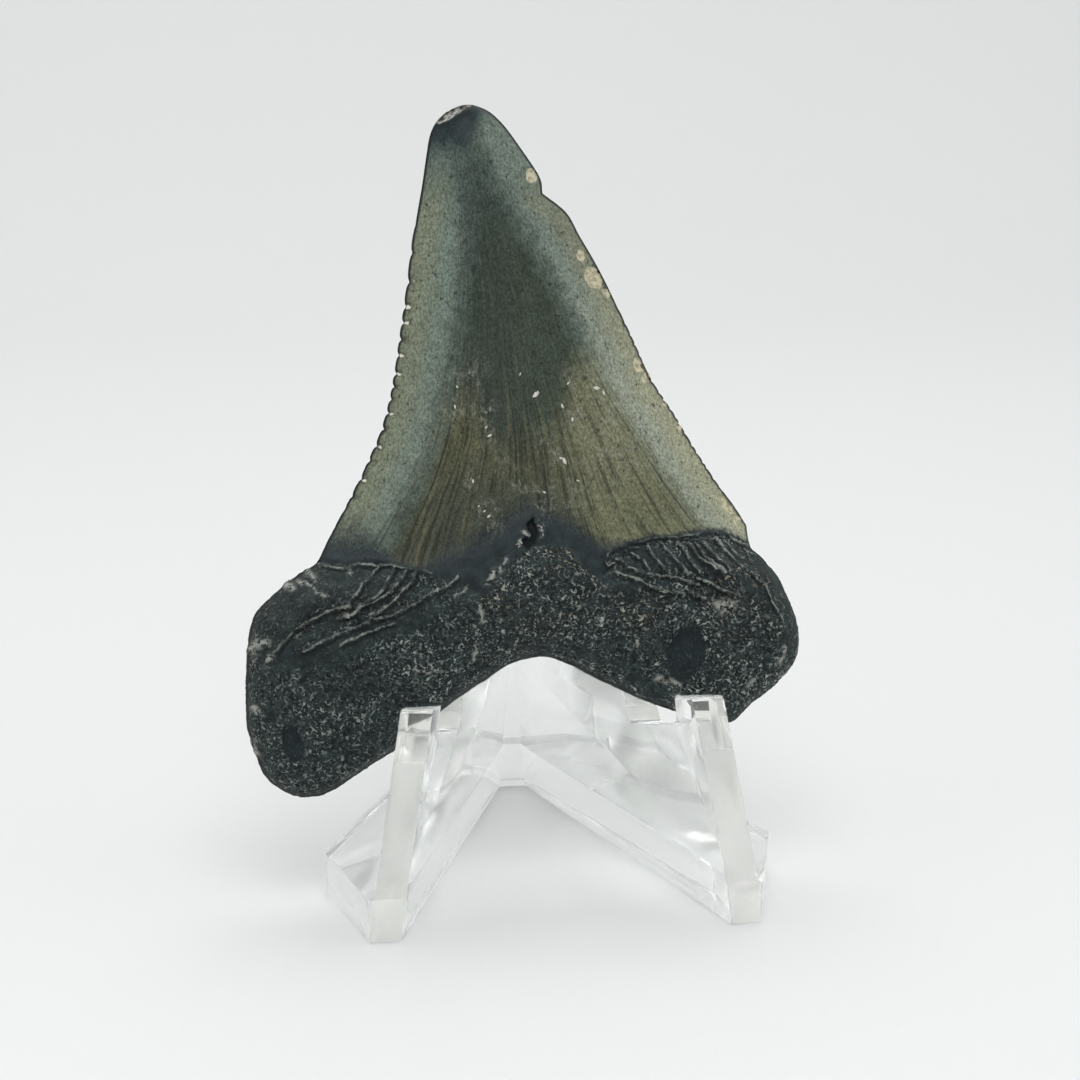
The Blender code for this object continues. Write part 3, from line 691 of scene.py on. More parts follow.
def both_sides(outline):
    """Places (x, height, depth), distances to the edge, sides (1 front, 0 back) and faces.

    The outline's points come first and are shared by both sides, so the tooth is closed.
    """
    rim_count = len(outline.points)
    places = []
    gaps = []
    sides = []
    faces = []
    offset = 0
    for side, fine, rings, depth in ((1.0, FACE_FINE, ROOT_RINGS, face_depth),
                                     (0.0, BACK_FINE, ROOT_RINGS[1:], back_depth)):
        flat, triangles = tooth_sheet(outline, fine, rings)
        _, gap = outline.nearest(flat)
        gap = np.maximum(gap, 0.0)
        gap[:rim_count] = 0.0
        out = depth(flat, gap)
        out[:rim_count] = rim_depth(flat[:rim_count])
        first = 0 if side else rim_count
        places.append(np.column_stack((flat, out))[first:])
        gaps.append(gap[first:])
        sides.append(np.full(len(flat) - first, side))
        lift = 0 if side else offset - rim_count
        for face in triangles:
            face = [i if i < rim_count else i + lift for i in face]
            faces.append(face if side else face[::-1])
        offset += len(flat)
    sides = np.concatenate(sides)
    sides[:rim_count] = 0.5
    return np.concatenate(places), np.concatenate(gaps), sides, faces


def flake_spots(outline):
    """Where the mineral flakes sit on the face."""
    spots = []
    for x, height, _ in FLAKES:
        flat = np.array([[x, height]])
        _, gap = outline.nearest(flat)
        spots.append((x, height, face_depth(flat, gap)[0] + 0.02))
    return spots


def surface_numbers(outline, flat, gaps, front):
    """The numbers that the carving and the finish read at each point."""
    index, _ = outline.nearest(flat)
    x, height = flat[:, 0], flat[:, 1]
    chipped = wobbled(flat, CHIP_WOBBLE)
    left = rounded_across(height, PALE_LEFT)
    right = rounded_across(height, PALE_RIGHT)
    on_face = front > 0.4
    return {
        "to_edge": gaps,
        "notch_turn": outline.notch_turn[index],
        "serrated": outline.serrated[index],
        "root": root_share(flat),
        "porous": soft_step((line_height(x, POROUS_RIM) - height) / 0.7 + 0.5),
        "above_rim": height - line_height(x, ENAMEL_RIM),
        "pale": np.maximum(left - x, x - right),
        "lane": (x - (left + right) / 2) / (right - left) * 2,
        "ridge": ridge_share(flat) * on_face,
        "ridge_shade": ridge_share(flat, 1.0) * on_face,
        "rub": strip_share(chipped, RUBS) * on_face,
        "calm": strip_share(flat, CALM_STRIPS),
        "pit": hollow(flat, ROOT_HOLLOWS[:2], 0.5)[1] * front,
        "vessel": hollow(chipped, VESSEL_HOLES, 0.8)[1] * front,
        "chip": hollow(chipped, CHIPS, 0.3)[1] * on_face,
        "tip_wear": hollow(chipped, (TIP_WEAR,), 0.4)[1] * on_face,
        "olive": line_height(x, OLIVE_TOP) - height,
        "bloom": bloom_share(flat) * front,
    }


def tooth_base():
    """Tooth before its fine surface; the last points are the loose spots of the flakes."""
    outline = ToothOutline()
    places, gaps, front, faces = both_sides(outline)
    whole = len(places)
    places = np.concatenate((places, flake_spots(outline)))
    gaps = np.concatenate((gaps, np.full(len(FLAKES), FAR_FROM_EDGE)))
    front = np.concatenate((front, np.ones(len(FLAKES))))
    flat = places[:, :2]

    numbers = surface_numbers(outline, flat, gaps, front)
    numbers["flake"] = np.zeros(len(places))
    numbers["flake"][whole:] = [length for _, _, length in FLAKES]

    index, _ = outline.nearest(flat)
    up, _, _ = lean_frame()
    inward = outline.inward[index][:, 1:2] * up
    inward[:, 0] += outline.inward[index][:, 0]

    mesh = bpy.data.meshes.new("tooth_base")
    mesh.from_pydata(into_place(places) * MM, [], faces)
    for name, values in numbers.items():
        mesh.attributes.new(name, "FLOAT", "POINT").data.foreach_set("value", values)
    for name, values in (("inward", inward), ("place", places)):
        made = mesh.attributes.new(name, "FLOAT_VECTOR", "POINT")
        made.data.foreach_set("vector", values.ravel())
    made = bpy.data.objects.new("tooth_base", mesh)
    bpy.context.scene.collection.objects.link(made)
    return made


# ================================ tooth: carving tree ================================

def stored_number(tree, name):
    made = node(tree, "GeometryNodeInputNamedAttribute", {"Name": name}, data_type="FLOAT")
    return made.outputs["Attribute"]


def stored_vector(tree, name):
    made = node(tree, "GeometryNodeInputNamedAttribute", {"Name": name}, data_type="FLOAT_VECTOR")
    return made.outputs["Attribute"]


def worms(tree, place, size, fullness=0.5):
    """Short wormy crests of the porous root, 0 to 1, and the smooth noise they follow."""
    wriggle = grain(tree, place, calc(tree, "DIVIDE", 1.0, size), 0.0)
    crests = thin_lines(tree, wriggle, 0.125)
    stretched = scaled(tree, place, (1.1, 1.0, 1.7))
    patches = step_between(tree, grain(tree, stretched, calc(tree, "DIVIDE", 1.75, size), 0.0),
                           1.0 - fullness, 1.0 - fullness + 0.09)
    return product(tree, crests, patches), wriggle


CARVING_SIZES = {
    "Serration Depth": 0.11,
    "Groove Depth": 0.16,
    "Pore Size": 0.60,
    "Pore Depth": 0.16,
    "Furrow Depth": 0.035,
    "Edge Chatter": 0.34,
}
CARVING_SEED = 7


def serration_cuts(tree, to_edge, size):
    """Rounded beads along the edges: cut of the outline, groove behind it and share of the notch."""
    turn_share = stored_number(tree, "notch_turn")
    serrated = stored_number(tree, "serrated")
    bead = calc(tree, "ABSOLUTE", calc(tree, "SINE", calc(tree, "MULTIPLY", turn_share, math.pi)))
    dip = calc(tree, "SUBTRACT", 1.0, bead, clamp=True)
    notch = calc(tree, "MULTIPLY", calc(tree, "POWER", dip, 1.5), serrated)
    nick = calc(tree, "MULTIPLY", calc(tree, "POWER", dip, 3.0), serrated)
    at_edge = step_between(tree, to_edge, 0.0, 0.75, 1.0, 0.0)
    cut = product(tree, nick, at_edge, size["Serration Depth"])
    behind = step_between(tree, to_edge, 0.1, 1.4, 1.0, 0.0)
    groove = product(tree, notch, behind, size["Groove Depth"], -1.0)
    return cut, groove, notch


def pore_lift(tree, place, to_edge, size):
    """Wormy crests over small hollows, calmer along the smooth strips, in the pits and at the rim."""
    crests, wriggle = worms(tree, place, size["Pore Size"])
    rolling = calc(tree, "SUBTRACT", wriggle, 0.5)
    quiet = calc(tree, "SUBTRACT", 1.0, calc(tree, "MULTIPLY", stored_number(tree, "calm"), 0.75))
    unpitted = calc(tree, "SUBTRACT", 1.0, calc(tree, "MULTIPLY", stored_number(tree, "pit"), 0.9))
    rough = product(tree, stored_number(tree, "porous"), quiet, unpitted)
    pores = calc(tree, "ADD", crests, calc(tree, "MULTIPLY", rolling, 1.6))
    inside = step_between(tree, to_edge, 0.0, 0.9, 0.3, 1.0)
    return product(tree, pores, rough, size["Pore Depth"], inside)


def ridge_lift(tree, place, root):
    """What breaks the crests of the shoulder ridges into short lengths."""
    broken = step_between(tree, grain(tree, place, 1.1, 2.0), 0.35, 0.6, -0.10, 0.14)
    return product(tree, stored_number(tree, "ridge"), broken, root)


def furrow_lift(tree, place, root, size):
    """Fine furrows that run up the enamel between the pale bands."""
    height = node(tree, "ShaderNodeSeparateXYZ", {0: place}).outputs["Y"]
    across = calc(tree, "MULTIPLY", stored_number(tree, "lane"), 9.0)
    lanes = node(tree, "ShaderNodeCombineXYZ", {"X": across, "Y": calc(tree, "MULTIPLY", height, 0.05)})
    furrow = thin_lines(tree, grain(tree, lanes.outputs[0], 2.0, 2.0), 0.06)
    enamel = calc(tree, "SUBTRACT", 1.0, root)
    low_crown = step_between(tree, height, 34.0, 50.0, 1.0, 0.15)
    return product(tree, furrow, enamel, low_crown, size["Furrow Depth"], -1.0)


def wear_lift(tree, place):
    """Lumps of the chips and the worn tip, and the slight swell of the rubbed places."""
    worn = calc(tree, "MAXIMUM", stored_number(tree, "chip"), stored_number(tree, "tip_wear"))
    lumpy = product(tree, worn, calc(tree, "SUBTRACT", grain(tree, place, 2.4, 2.0), 0.5), 0.35)
    return calc(tree, "ADD", lumpy, product(tree, stored_number(tree, "rub"), 0.14))


def along(tree, direction, millimetres):
    """A direction made as long as a number of millimetres."""
    metres = calc(tree, "MULTIPLY", millimetres, MM)
    return node(tree, "ShaderNodeVectorMath", {0: direction, "Scale": metres}, operation="SCALE").outputs[0]


def flake_crumbs(tree, spots, flake, seed, mineral):
    """Flattened crumbs on the flake spots, turned at random about the face's normal."""
    crumb = node(tree, "GeometryNodeMeshIcoSphere", {"Radius": 0.5 * MM, "Subdivisions": 2}).outputs[0]
    spot = node(tree, "GeometryNodeInputPosition").outputs[0]
    uneven_at = node(tree, "ShaderNodeTexNoise", {"Vector": spot, "Scale": 2600.0, "Detail": 1.0})
    apart = node(tree, "ShaderNodeVectorMath", {0: uneven_at.outputs["Color"], 1: (0.5, 0.5, 0.5)},
                 operation="SUBTRACT").outputs[0]
    crumb = node(tree, "GeometryNodeSetPosition",
                 {"Geometry": crumb, "Offset": along(tree, apart, CRUMB_UNEVEN)}).outputs[0]
    points = node(tree, "GeometryNodeMeshToPoints", {"Mesh": spots}).outputs[0]
    leaning = node(tree, "ShaderNodeCombineXYZ", {"X": math.radians(90 - LEAN_DEG)}).outputs[0]
    lengths = {axis: calc(tree, "MULTIPLY", flake, share) for axis, share in zip("XYZ", CRUMB_SHAPE)}
    shape = node(tree, "ShaderNodeCombineXYZ", lengths).outputs[0]
    placed = node(tree, "GeometryNodeInstanceOnPoints",
                  {"Points": points, "Instance": crumb, "Rotation": leaning, "Scale": shape}).outputs[0]
    spin = node(tree, "FunctionNodeRandomValue", {"Seed": seed}, data_type="FLOAT")
    spin.inputs[2].default_value = 0.0
    spin.inputs[3].default_value = math.pi
    turn = node(tree, "ShaderNodeCombineXYZ", {"Z": spin.outputs[1]}).outputs[0]
    placed = node(tree, "GeometryNodeRotateInstances", {"Instances": placed, "Rotation": turn}).outputs[0]
    flakes = node(tree, "GeometryNodeRealizeInstances", {"Geometry": placed}).outputs[0]
    return node(tree, "GeometryNodeSetMaterial", {"Geometry": flakes, "Material": mineral}).outputs[0]


def carving_tree(fossil, mineral):
    """Node tree that carves the serrations, pores, furrows and flakes of the tooth."""
    tree = bpy.data.node_groups.new("fossil_carving", "GeometryNodeTree")
    face = tree.interface
    face.new_socket("Geometry", in_out="INPUT", socket_type="NodeSocketGeometry")
    for name, value in CARVING_SIZES.items():
        face.new_socket(name, in_out="INPUT", socket_type="NodeSocketFloat").default_value = value
    face.new_socket("Seed", in_out="INPUT", socket_type="NodeSocketInt").default_value = CARVING_SEED
    face.new_socket("Geometry", in_out="OUTPUT", socket_type="NodeSocketGeometry")
    start = node(tree, "NodeGroupInput")
    size = {name: start.outputs[name] for name in CARVING_SIZES}

    place = stored_vector(tree, "place")
    to_edge = stored_number(tree, "to_edge")
    root = stored_number(tree, "root")

    # Outwards along the surface's normal.
    cut, lift, notch = serration_cuts(tree, to_edge, size)
    for part in (pore_lift(tree, place, to_edge, size), ridge_lift(tree, place, root),
                 furrow_lift(tree, place, root, size), wear_lift(tree, place)):
        lift = calc(tree, "ADD", lift, part)
    out = along(tree, node(tree, "GeometryNodeInputNormal").outputs[0], lift)

    # Inwards at the outline: the serrations, and a slight unevenness of the root's rim.
    chatter = calc(tree, "SUBTRACT", grain(tree, place, 0.55, 3.0, 0.6), 0.5)
    chatter = product(tree, chatter, root, step_between(tree, to_edge, 0.0, 0.6, 1.0, 0.0),
                      size["Edge Chatter"])
    inward = along(tree, stored_vector(tree, "inward"), calc(tree, "ADD", cut, chatter))
    moved = node(tree, "ShaderNodeVectorMath", {0: out, 1: inward}, operation="ADD").outputs[0]

    flake = stored_number(tree, "flake")
    is_flake = node(tree, "FunctionNodeCompare", {0: flake, 1: 0.0}, data_type="FLOAT",
                    operation="GREATER_THAN").outputs[0]
    parts = node(tree, "GeometryNodeSeparateGeometry",
                 {"Geometry": start.outputs["Geometry"], "Selection": is_flake}, domain="POINT")
    carved = node(tree, "GeometryNodeSetPosition",
                  {"Geometry": parts.outputs["Inverted"], "Offset": moved}).outputs[0]
    carved = node(tree, "GeometryNodeStoreNamedAttribute",
                  {"Geometry": carved, "Name": "notch", "Value": notch},
                  data_type="FLOAT", domain="POINT").outputs[0]
    carved = node(tree, "GeometryNodeSetMaterial", {"Geometry": carved, "Material": fossil}).outputs[0]
    flakes = flake_crumbs(tree, parts.outputs["Selection"], flake, start.outputs["Seed"], mineral)

    joined = node(tree, "GeometryNodeJoinGeometry")
    tree.links.new(flakes, joined.inputs[0])
    tree.links.new(carved, joined.inputs[0])
    whole = node(tree, "GeometryNodeRealizeInstances", {"Geometry": joined.outputs[0]}).outputs[0]
    node(tree, "NodeGroupOutput", {"Geometry": whole})
    return tree


def make_tooth(fossil, mineral):
    """The tooth as one plain mesh, carved by its node tree."""
    base = tooth_base()
    tree = carving_tree(fossil, mineral)
    carve = base.modifiers.new("carving", "NODES")
    carve.node_group = tree
    sockets = {item.name: item.identifier for item in tree.interface.items_tree
               if item.in_out == "INPUT"}
    for name, value in CARVING_SIZES.items():
        carve[sockets[name]] = value
    carve[sockets["Seed"]] = CARVING_SEED
    tooth = plain_mesh(base, "fossil_tooth")
    tooth.data.shade_smooth()
    tooth.data.set_sharp_from_angle(angle=math.radians(62))
    return tooth


# ================================ easel: shape ================================

def rounded_outline(corners, steps=6):
    """Closed 2D outline whose corners (a, b, radius) are turned into arcs."""
    outline = []
    count = len(corners)
    for i, (a, b, radius) in enumerate(corners):
        here = Vector((a, b))
        if radius <= 0:
            outline.append(here)
            continue
        before = (Vector(corners[i - 1][:2]) - here).normalized()
        after = (Vector(corners[(i + 1) % count][:2]) - here).normalized()
        half = before.angle(after) / 2
        reach = radius / math.tan(half)
        centre = here + (before + after).normalized() * (radius / math.sin(half))
        first = here + before * reach - centre
        last = here + after * reach - centre
        for k in range(steps + 1):
            spoke = first.normalized().slerp(last.normalized(), k / steps) * radius
            outline.append(centre + spoke)
    return outline


def prism(bm, ring_low, ring_high):
    """Closed solid between two rings of points with the same count."""
    low = [bm.verts.new(p) for p in ring_low]
    high = [bm.verts.new(p) for p in ring_high]
    bm.faces.new(low)
    bm.faces.new(high)
    for i in range(len(low)):
        j = (i + 1) % len(low)
        bm.faces.new((low[i], low[j], high[j], high[i]))


def wall_stock(bm):
    """One wall and its half of the spine, leaning inwards, past the mirror plane."""
    far = FOOT_FRONT_Y - STOCK_MARGIN
    back = SPINE_BACK_Y + STOCK_MARGIN
    inner_far = SPINE_HALF + (SPINE_FRONT_Y - far) * WALL_SPLAY
    inner_back = SPINE_HALF + (SPINE_FRONT_Y - back) * WALL_SPLAY
    past_mirror = -WALL_TILT * WALL_STOCK_TOP
    plan = (
        (inner_far, far), (inner_far + WALL_THICK, far), (inner_back + WALL_THICK, back),
        (past_mirror, back), (past_mirror, SPINE_FRONT_Y), (SPINE_HALF, SPINE_FRONT_Y),
    )
    low = -STOCK_MARGIN
    base = [(x - WALL_TILT * low, y, low) for x, y in plan]
    top = [(x - WALL_TILT * WALL_STOCK_TOP, y, WALL_STOCK_TOP) for x, y in plan]
    prism(bm, base, top)


def wall_side_stock(bm):
    """The wall's side outline as a bar along X."""
    outline = rounded_outline(WALL_SIDE)
    reach = HEEL[0] + STOCK_MARGIN
    prism(bm, [(-reach, p.x, p.y) for p in outline], [(reach, p.x, p.y) for p in outline])


def foot_plate(bm):
    """Half of the V-shaped foot plate, past the mirror plane."""
    inside = WALL_THICK / 2
    front_inner = SPINE_HALF + (SPINE_FRONT_Y - FOOT_FRONT_Y) * WALL_SPLAY + inside
    outline = rounded_outline((
        (front_inner, FOOT_FRONT_Y, 0.0), (FOOT_OUTER_X, FOOT_FRONT_Y, 0.4), HEEL,
        (REAR_HALF, REAR_Y, REAR_ROUND), (-inside, REAR_Y, 0.0),
        (-inside, SPINE_FRONT_Y + inside, 0.0), (SPINE_HALF + inside, SPINE_FRONT_Y + inside, 0.0),
    ))
    prism(bm, [(p.x, p.y, 0.0) for p in outline], [(p.x, p.y, PLATE_THICK) for p in outline])


def make_easel(clear_plastic):
    """The easel as one plain mesh: wall cut to its side view, joined with the plate and mirrored."""
    drawn = []
    for name, draw in (("easel_wall", wall_stock), ("wall_side_outline", wall_side_stock),
                       ("foot_plate_half", foot_plate)):
        bm = bmesh.new()
        draw(bm)
        drawn.append(object_from_bmesh(bm, name))
    easel = drawn[0]
    for helper, operation in ((drawn[1], "INTERSECT"), (drawn[2], "UNION")):
        cut = easel.modifiers.new(helper.name, "BOOLEAN")
        cut.operation = operation
        cut.solver = "EXACT"
        cut.object = helper
    mirror = easel.modifiers.new("other_half", "MIRROR")
    mirror.use_bisect_axis = (True, False, False)
    mirror.merge_threshold = 0.00001
    bevel = easel.modifiers.new("soft_edges", "BEVEL")
    bevel.width = EASEL_EDGE * MM
    bevel.segments = 3
    bevel.limit_method = "ANGLE"
    bevel.angle_limit = math.radians(35)
    easel = plain_mesh(easel, "clear_easel")
    for helper in drawn[1:]:
        bpy.data.objects.remove(helper, do_unlink=True)
    easel.data.transform(Matrix.Translation(EASEL_AT * MM))
    easel.data.shade_smooth()
    easel.data.set_sharp_from_angle(angle=math.radians(28))
    front = [float(face.normal.y < -0.9 and face.center.y < 0.0) for face in easel.data.polygons]
    easel.data.attributes.new("milled", "FLOAT", "FACE").data.foreach_set("value", front)
    easel.data.materials.clear()
    easel.data.materials.append(clear_plastic)
    return easel


# ================================ finishes ================================

def middle_colour(tree, x, height, drift, ragged):
    """Crown between the pale bands: dark above, olive below, warmer and lighter to the right."""
    dark_low = blend(tree, step_between(tree, x, -6.0, 1.0), linear(50, 60, 53), linear(59, 70, 59))
    dark = blend(tree, step_between(tree, height, 50.0, 60.0), dark_low, linear(60, 72, 67))
    olive_left = blend(tree, step_between(tree, height, 34.0, 27.0), linear(84, 85, 60), linear(63, 68, 54))
    olive_right = blend(tree, step_between(tree, height, 35.0, 25.0), linear(121, 122, 97),
                        linear(105, 107, 83))
    olive = blend(tree, step_between(tree, x, -1.5, 6.0), olive_left, olive_right)
    uneven = calc(tree, "ADD", calc(tree, "MULTIPLY", drift, 4.0), calc(tree, "MULTIPLY", ragged, 5.0))
    level = calc(tree, "ADD", layer(tree, "olive"), uneven)
    return blend(tree, step_between(tree, level, -3.4, 4.2), dark, olive)


def with_pale_bands(tree, base, x, height, ragged):
    """Pale bands along both edges: bluish inside, yellower out by the cutting edges."""
    wavy = calc(tree, "ADD", layer(tree, "pale"), calc(tree, "MULTIPLY", ragged, 2.2))
    right_low = product(tree, step_between(tree, x, 0.0, 5.0), step_between(tree, height, 44.0, 38.0))
    fringe = blend(tree, right_low, linear(86, 99, 93), linear(118, 127, 113))
    fringe_share = step_between(tree, right_low, 0.0, 1.0, 0.75, 0.35)
    base = blend(tree, product(tree, step_between(tree, wavy, -2.6, 0.0), fringe_share), base, fringe)

    low_down = step_between(tree, height, 58.0, 34.0)
    by_edge = calc(tree, "ADD", layer(tree, "to_edge"), calc(tree, "MULTIPLY", ragged, 2.0))
    outer = step_between(tree, by_edge, 3.6, 0.8)
    left_inner = blend(tree, low_down, linear(106, 120, 110), linear(107, 118, 107))
    left_outer = linear(116, 122, 103)
    right_inner = blend(tree, low_down, linear(104, 116, 108), linear(138, 144, 129))
    right_outer = blend(tree, low_down, linear(110, 115, 98), linear(149, 150, 126))
    band = blend(tree, step_between(tree, x, -6.0, 4.0), blend(tree, outer, left_inner, left_outer),
                 blend(tree, outer, right_inner, right_outer))
    near_tip = blend(tree, step_between(tree, x, -7.0, -3.0), linear(88, 100, 92), linear(103, 115, 106))
    band = blend(tree, step_between(tree, height, 54.5, 61.0), band, near_tip)
    return blend(tree, step_between(tree, wavy, -0.9, 1.1), base, band)


# Dark hair lines, as how many across, how broken along, limits of the noise and strength.
HAIR_LINES = ((22.0, 0.03, 0.57, 0.63, 0.85), (41.0, 0.05, 0.55, 0.63, 0.70))


def with_hair_lines(tree, base, x, height):
    """Dark hair lines and softer light ones climb the lower crown, straight and broken."""
    lane = layer(tree, "lane")

    def streaks(across, up, detail=0.0, roughness=0.5):
        at = node(tree, "ShaderNodeCombineXYZ", {"X": calc(tree, "MULTIPLY", lane, across),
                                                 "Y": calc(tree, "MULTIPLY", height, up)}).outputs[0]
        return grain(tree, at, 1.0, detail, roughness)

    in_middle = step_between(tree, layer(tree, "pale"), 1.2, -0.5)
    low_crown = step_between(tree, height, 31.0, 44.0, 1.0, 0.34)
    shown = product(tree, in_middle, low_crown, step_between(tree, x, -2.0, 4.0, 1.0, 0.66))
    for across, up, low, high, strength in HAIR_LINES:
        hair = step_between(tree, streaks(across, up), low, high)
        ends = step_between(tree, streaks(across * 1.3, 0.20), 0.40, 0.55)
        base = blend(tree, product(tree, hair, ends, shown, strength), base, linear(36, 37, 27))
    soft = step_between(tree, streaks(30.0, 0.10, 3.0, 0.7), 0.42, 0.64)
    base = blend(tree, product(tree, soft, in_middle, 0.30), base, linear(44, 48, 38))
    light = step_between(tree, streaks(17.0, 0.09, 3.0, 0.7), 0.52, 0.66)
    return blend(tree, product(tree, light, shown, 0.22), base, linear(128, 121, 92))


def with_dark_ends(tree, base, x, height, ragged):
    """Tip and foot of the enamel are blue-black, each with a ragged limit that slopes; painted shade
    darkens the tip's outline further.
    """
    tip_level = calc(tree, "SUBTRACT", calc(tree, "ADD", height, calc(tree, "MULTIPLY", ragged, 3.6)),
                     step_between(tree, x, -6.2, -4.0, 0.0, 3.2))
    tip = step_between(tree, tip_level, 60.2, 63.0)
    base = blend(tree, calc(tree, "MULTIPLY", tip, 0.95), base, linear(27, 40, 45))
    # Painted shade along the tip's outline, where the surface turns up towards the lamps.
    tip_rim_shade = product(tree, step_between(tree, tip_level, 62.8, 64.6),
                      step_between(tree, layer(tree, "to_edge"), 2.0, 0.7))
    base = blend(tree, tip_rim_shade, base, linear(12, 20, 24))
    foot_top = product(tree, step_between(tree, x, 1.0, 9.0, 1.0, 0.15),
                       step_between(tree, x, -9.0, -13.5, 1.0, 0.15), 2.9)
    foot_top = calc(tree, "ADD", foot_top, step_between(tree, x, -13.6, -18.4, 0.0, 4.4))
    above = calc(tree, "ADD", layer(tree, "above_rim"), calc(tree, "MULTIPLY", ragged, 1.6))
    foot = step_between(tree, calc(tree, "DIVIDE", above, foot_top), 1.35, 0.05)
    return blend(tree, foot, base, linear(36, 45, 49))


def with_specks_and_bloom(tree, enamel, place):
    """Small dark specks, and the whitish bloom with its brighter flecks; also the bloom's crust."""
    speck = step_between(tree, grain(tree, scaled(tree, place, (1.0, 0.7, 1.0)), 2.3, 1.0), 0.66, 0.72)
    enamel = blend(tree, calc(tree, "MULTIPLY", speck, 0.7), enamel, linear(38, 43, 38))
    bloom = layer(tree, "bloom")
    smears = scaled(tree, place, (1.0, 0.55, 1.0))
    crust = product(tree, step_between(tree, grain(tree, smears, 1.7, 5.0, 0.72), 0.47, 0.62), bloom)
    enamel = blend(tree, calc(tree, "MULTIPLY", crust, 0.62), enamel, linear(138, 138, 126))
    fleck = step_between(tree, grain(tree, smears, 4.4, 2.0, 0.6), 0.58, 0.66)
    return blend(tree, product(tree, fleck, crust, 0.7), enamel, linear(178, 178, 166)), crust


def with_grit(tree, enamel, place, mottle):
    """Fine grain of the enamel, lighter and darker by turns."""
    grit = step_between(tree, grain(tree, scaled(tree, place, (1.0, 0.6, 1.0)), 4.6, 4.0, 0.8),
                        0.32, 0.68, 0.52, 1.46)
    shade = calc(tree, "MULTIPLY", step_between(tree, mottle, 0.25, 0.75, 0.86, 1.14), grit)
    tint = node(tree, "ShaderNodeCombineColor", {0: shade, 1: shade, 2: shade}).outputs[0]
    mixed = node(tree, "ShaderNodeMix", None, data_type="RGBA", blend_type="MULTIPLY")
    mixed.inputs[0].default_value = 1.0
    tree.links.new(enamel, mixed.inputs[6])
    tree.links.new(tint, mixed.inputs[7])
    return mixed.outputs[2]


def with_worn_places(tree, enamel, place):
    """Chips are cream and the worn tip is pale with dark lumps; also the share that is still sound."""
    chip = layer(tree, "chip")
    tip_wear = layer(tree, "tip_wear")
    broken = step_between(tree, grain(tree, place, 2.2, 2.0), 0.40, 0.62)
    cream = blend(tree, broken, linear(200, 194, 166), linear(158, 153, 128))
    enamel = blend(tree, step_between(tree, chip, 0.35, 0.75), enamel, cream)
    worn = blend(tree, broken, linear(176, 176, 168), linear(84, 88, 88))
    enamel = blend(tree, step_between(tree, tip_wear, 0.35, 0.75), enamel, worn)
    sound = calc(tree, "SUBTRACT", 1.0, calc(tree, "MAXIMUM", chip, tip_wear), clamp=True)
    return enamel, sound


def enamel_colour(tree, place, x, height):
    """Colour of the crown; also its fine mottle, the bloom's crust and the share that is sound."""
    drift = calc(tree, "SUBTRACT", grain(tree, place, 0.16, 3.0), 0.5)
    mottle = grain(tree, place, 0.9, 4.0, 0.65)
    ragged = calc(tree, "SUBTRACT", mottle, 0.5)
    colour = middle_colour(tree, x, height, drift, ragged)
    colour = with_pale_bands(tree, colour, x, height, ragged)
    colour = with_hair_lines(tree, colour, x, height)
    colour = with_dark_ends(tree, colour, x, height, ragged)
    colour, crust = with_specks_and_bloom(tree, colour, place)
    colour = with_grit(tree, colour, place, mottle)
    colour, sound = with_worn_places(tree, colour, place)

    # The serrated edges are darker in tone, in patches, and carry painted shade that is strongest in the
    # notches.
    to_edge = layer(tree, "to_edge")
    notch_shade = step_between(tree, layer(tree, "notch"), 0.02, 0.45, 0.30, 1.0)
    patchy = step_between(tree, grain(tree, place, 0.7, 2.0), 0.36, 0.60, 0.25, 1.0)
    edge_tone_and_notch_shade = product(tree, step_between(tree, to_edge, 0.2, 1.15, 0.85, 0.0), layer(tree, "serrated"),
                       sound, notch_shade, patchy)
    return blend(tree, edge_tone_and_notch_shade, colour, linear(50, 49, 38)), mottle, crust, sound


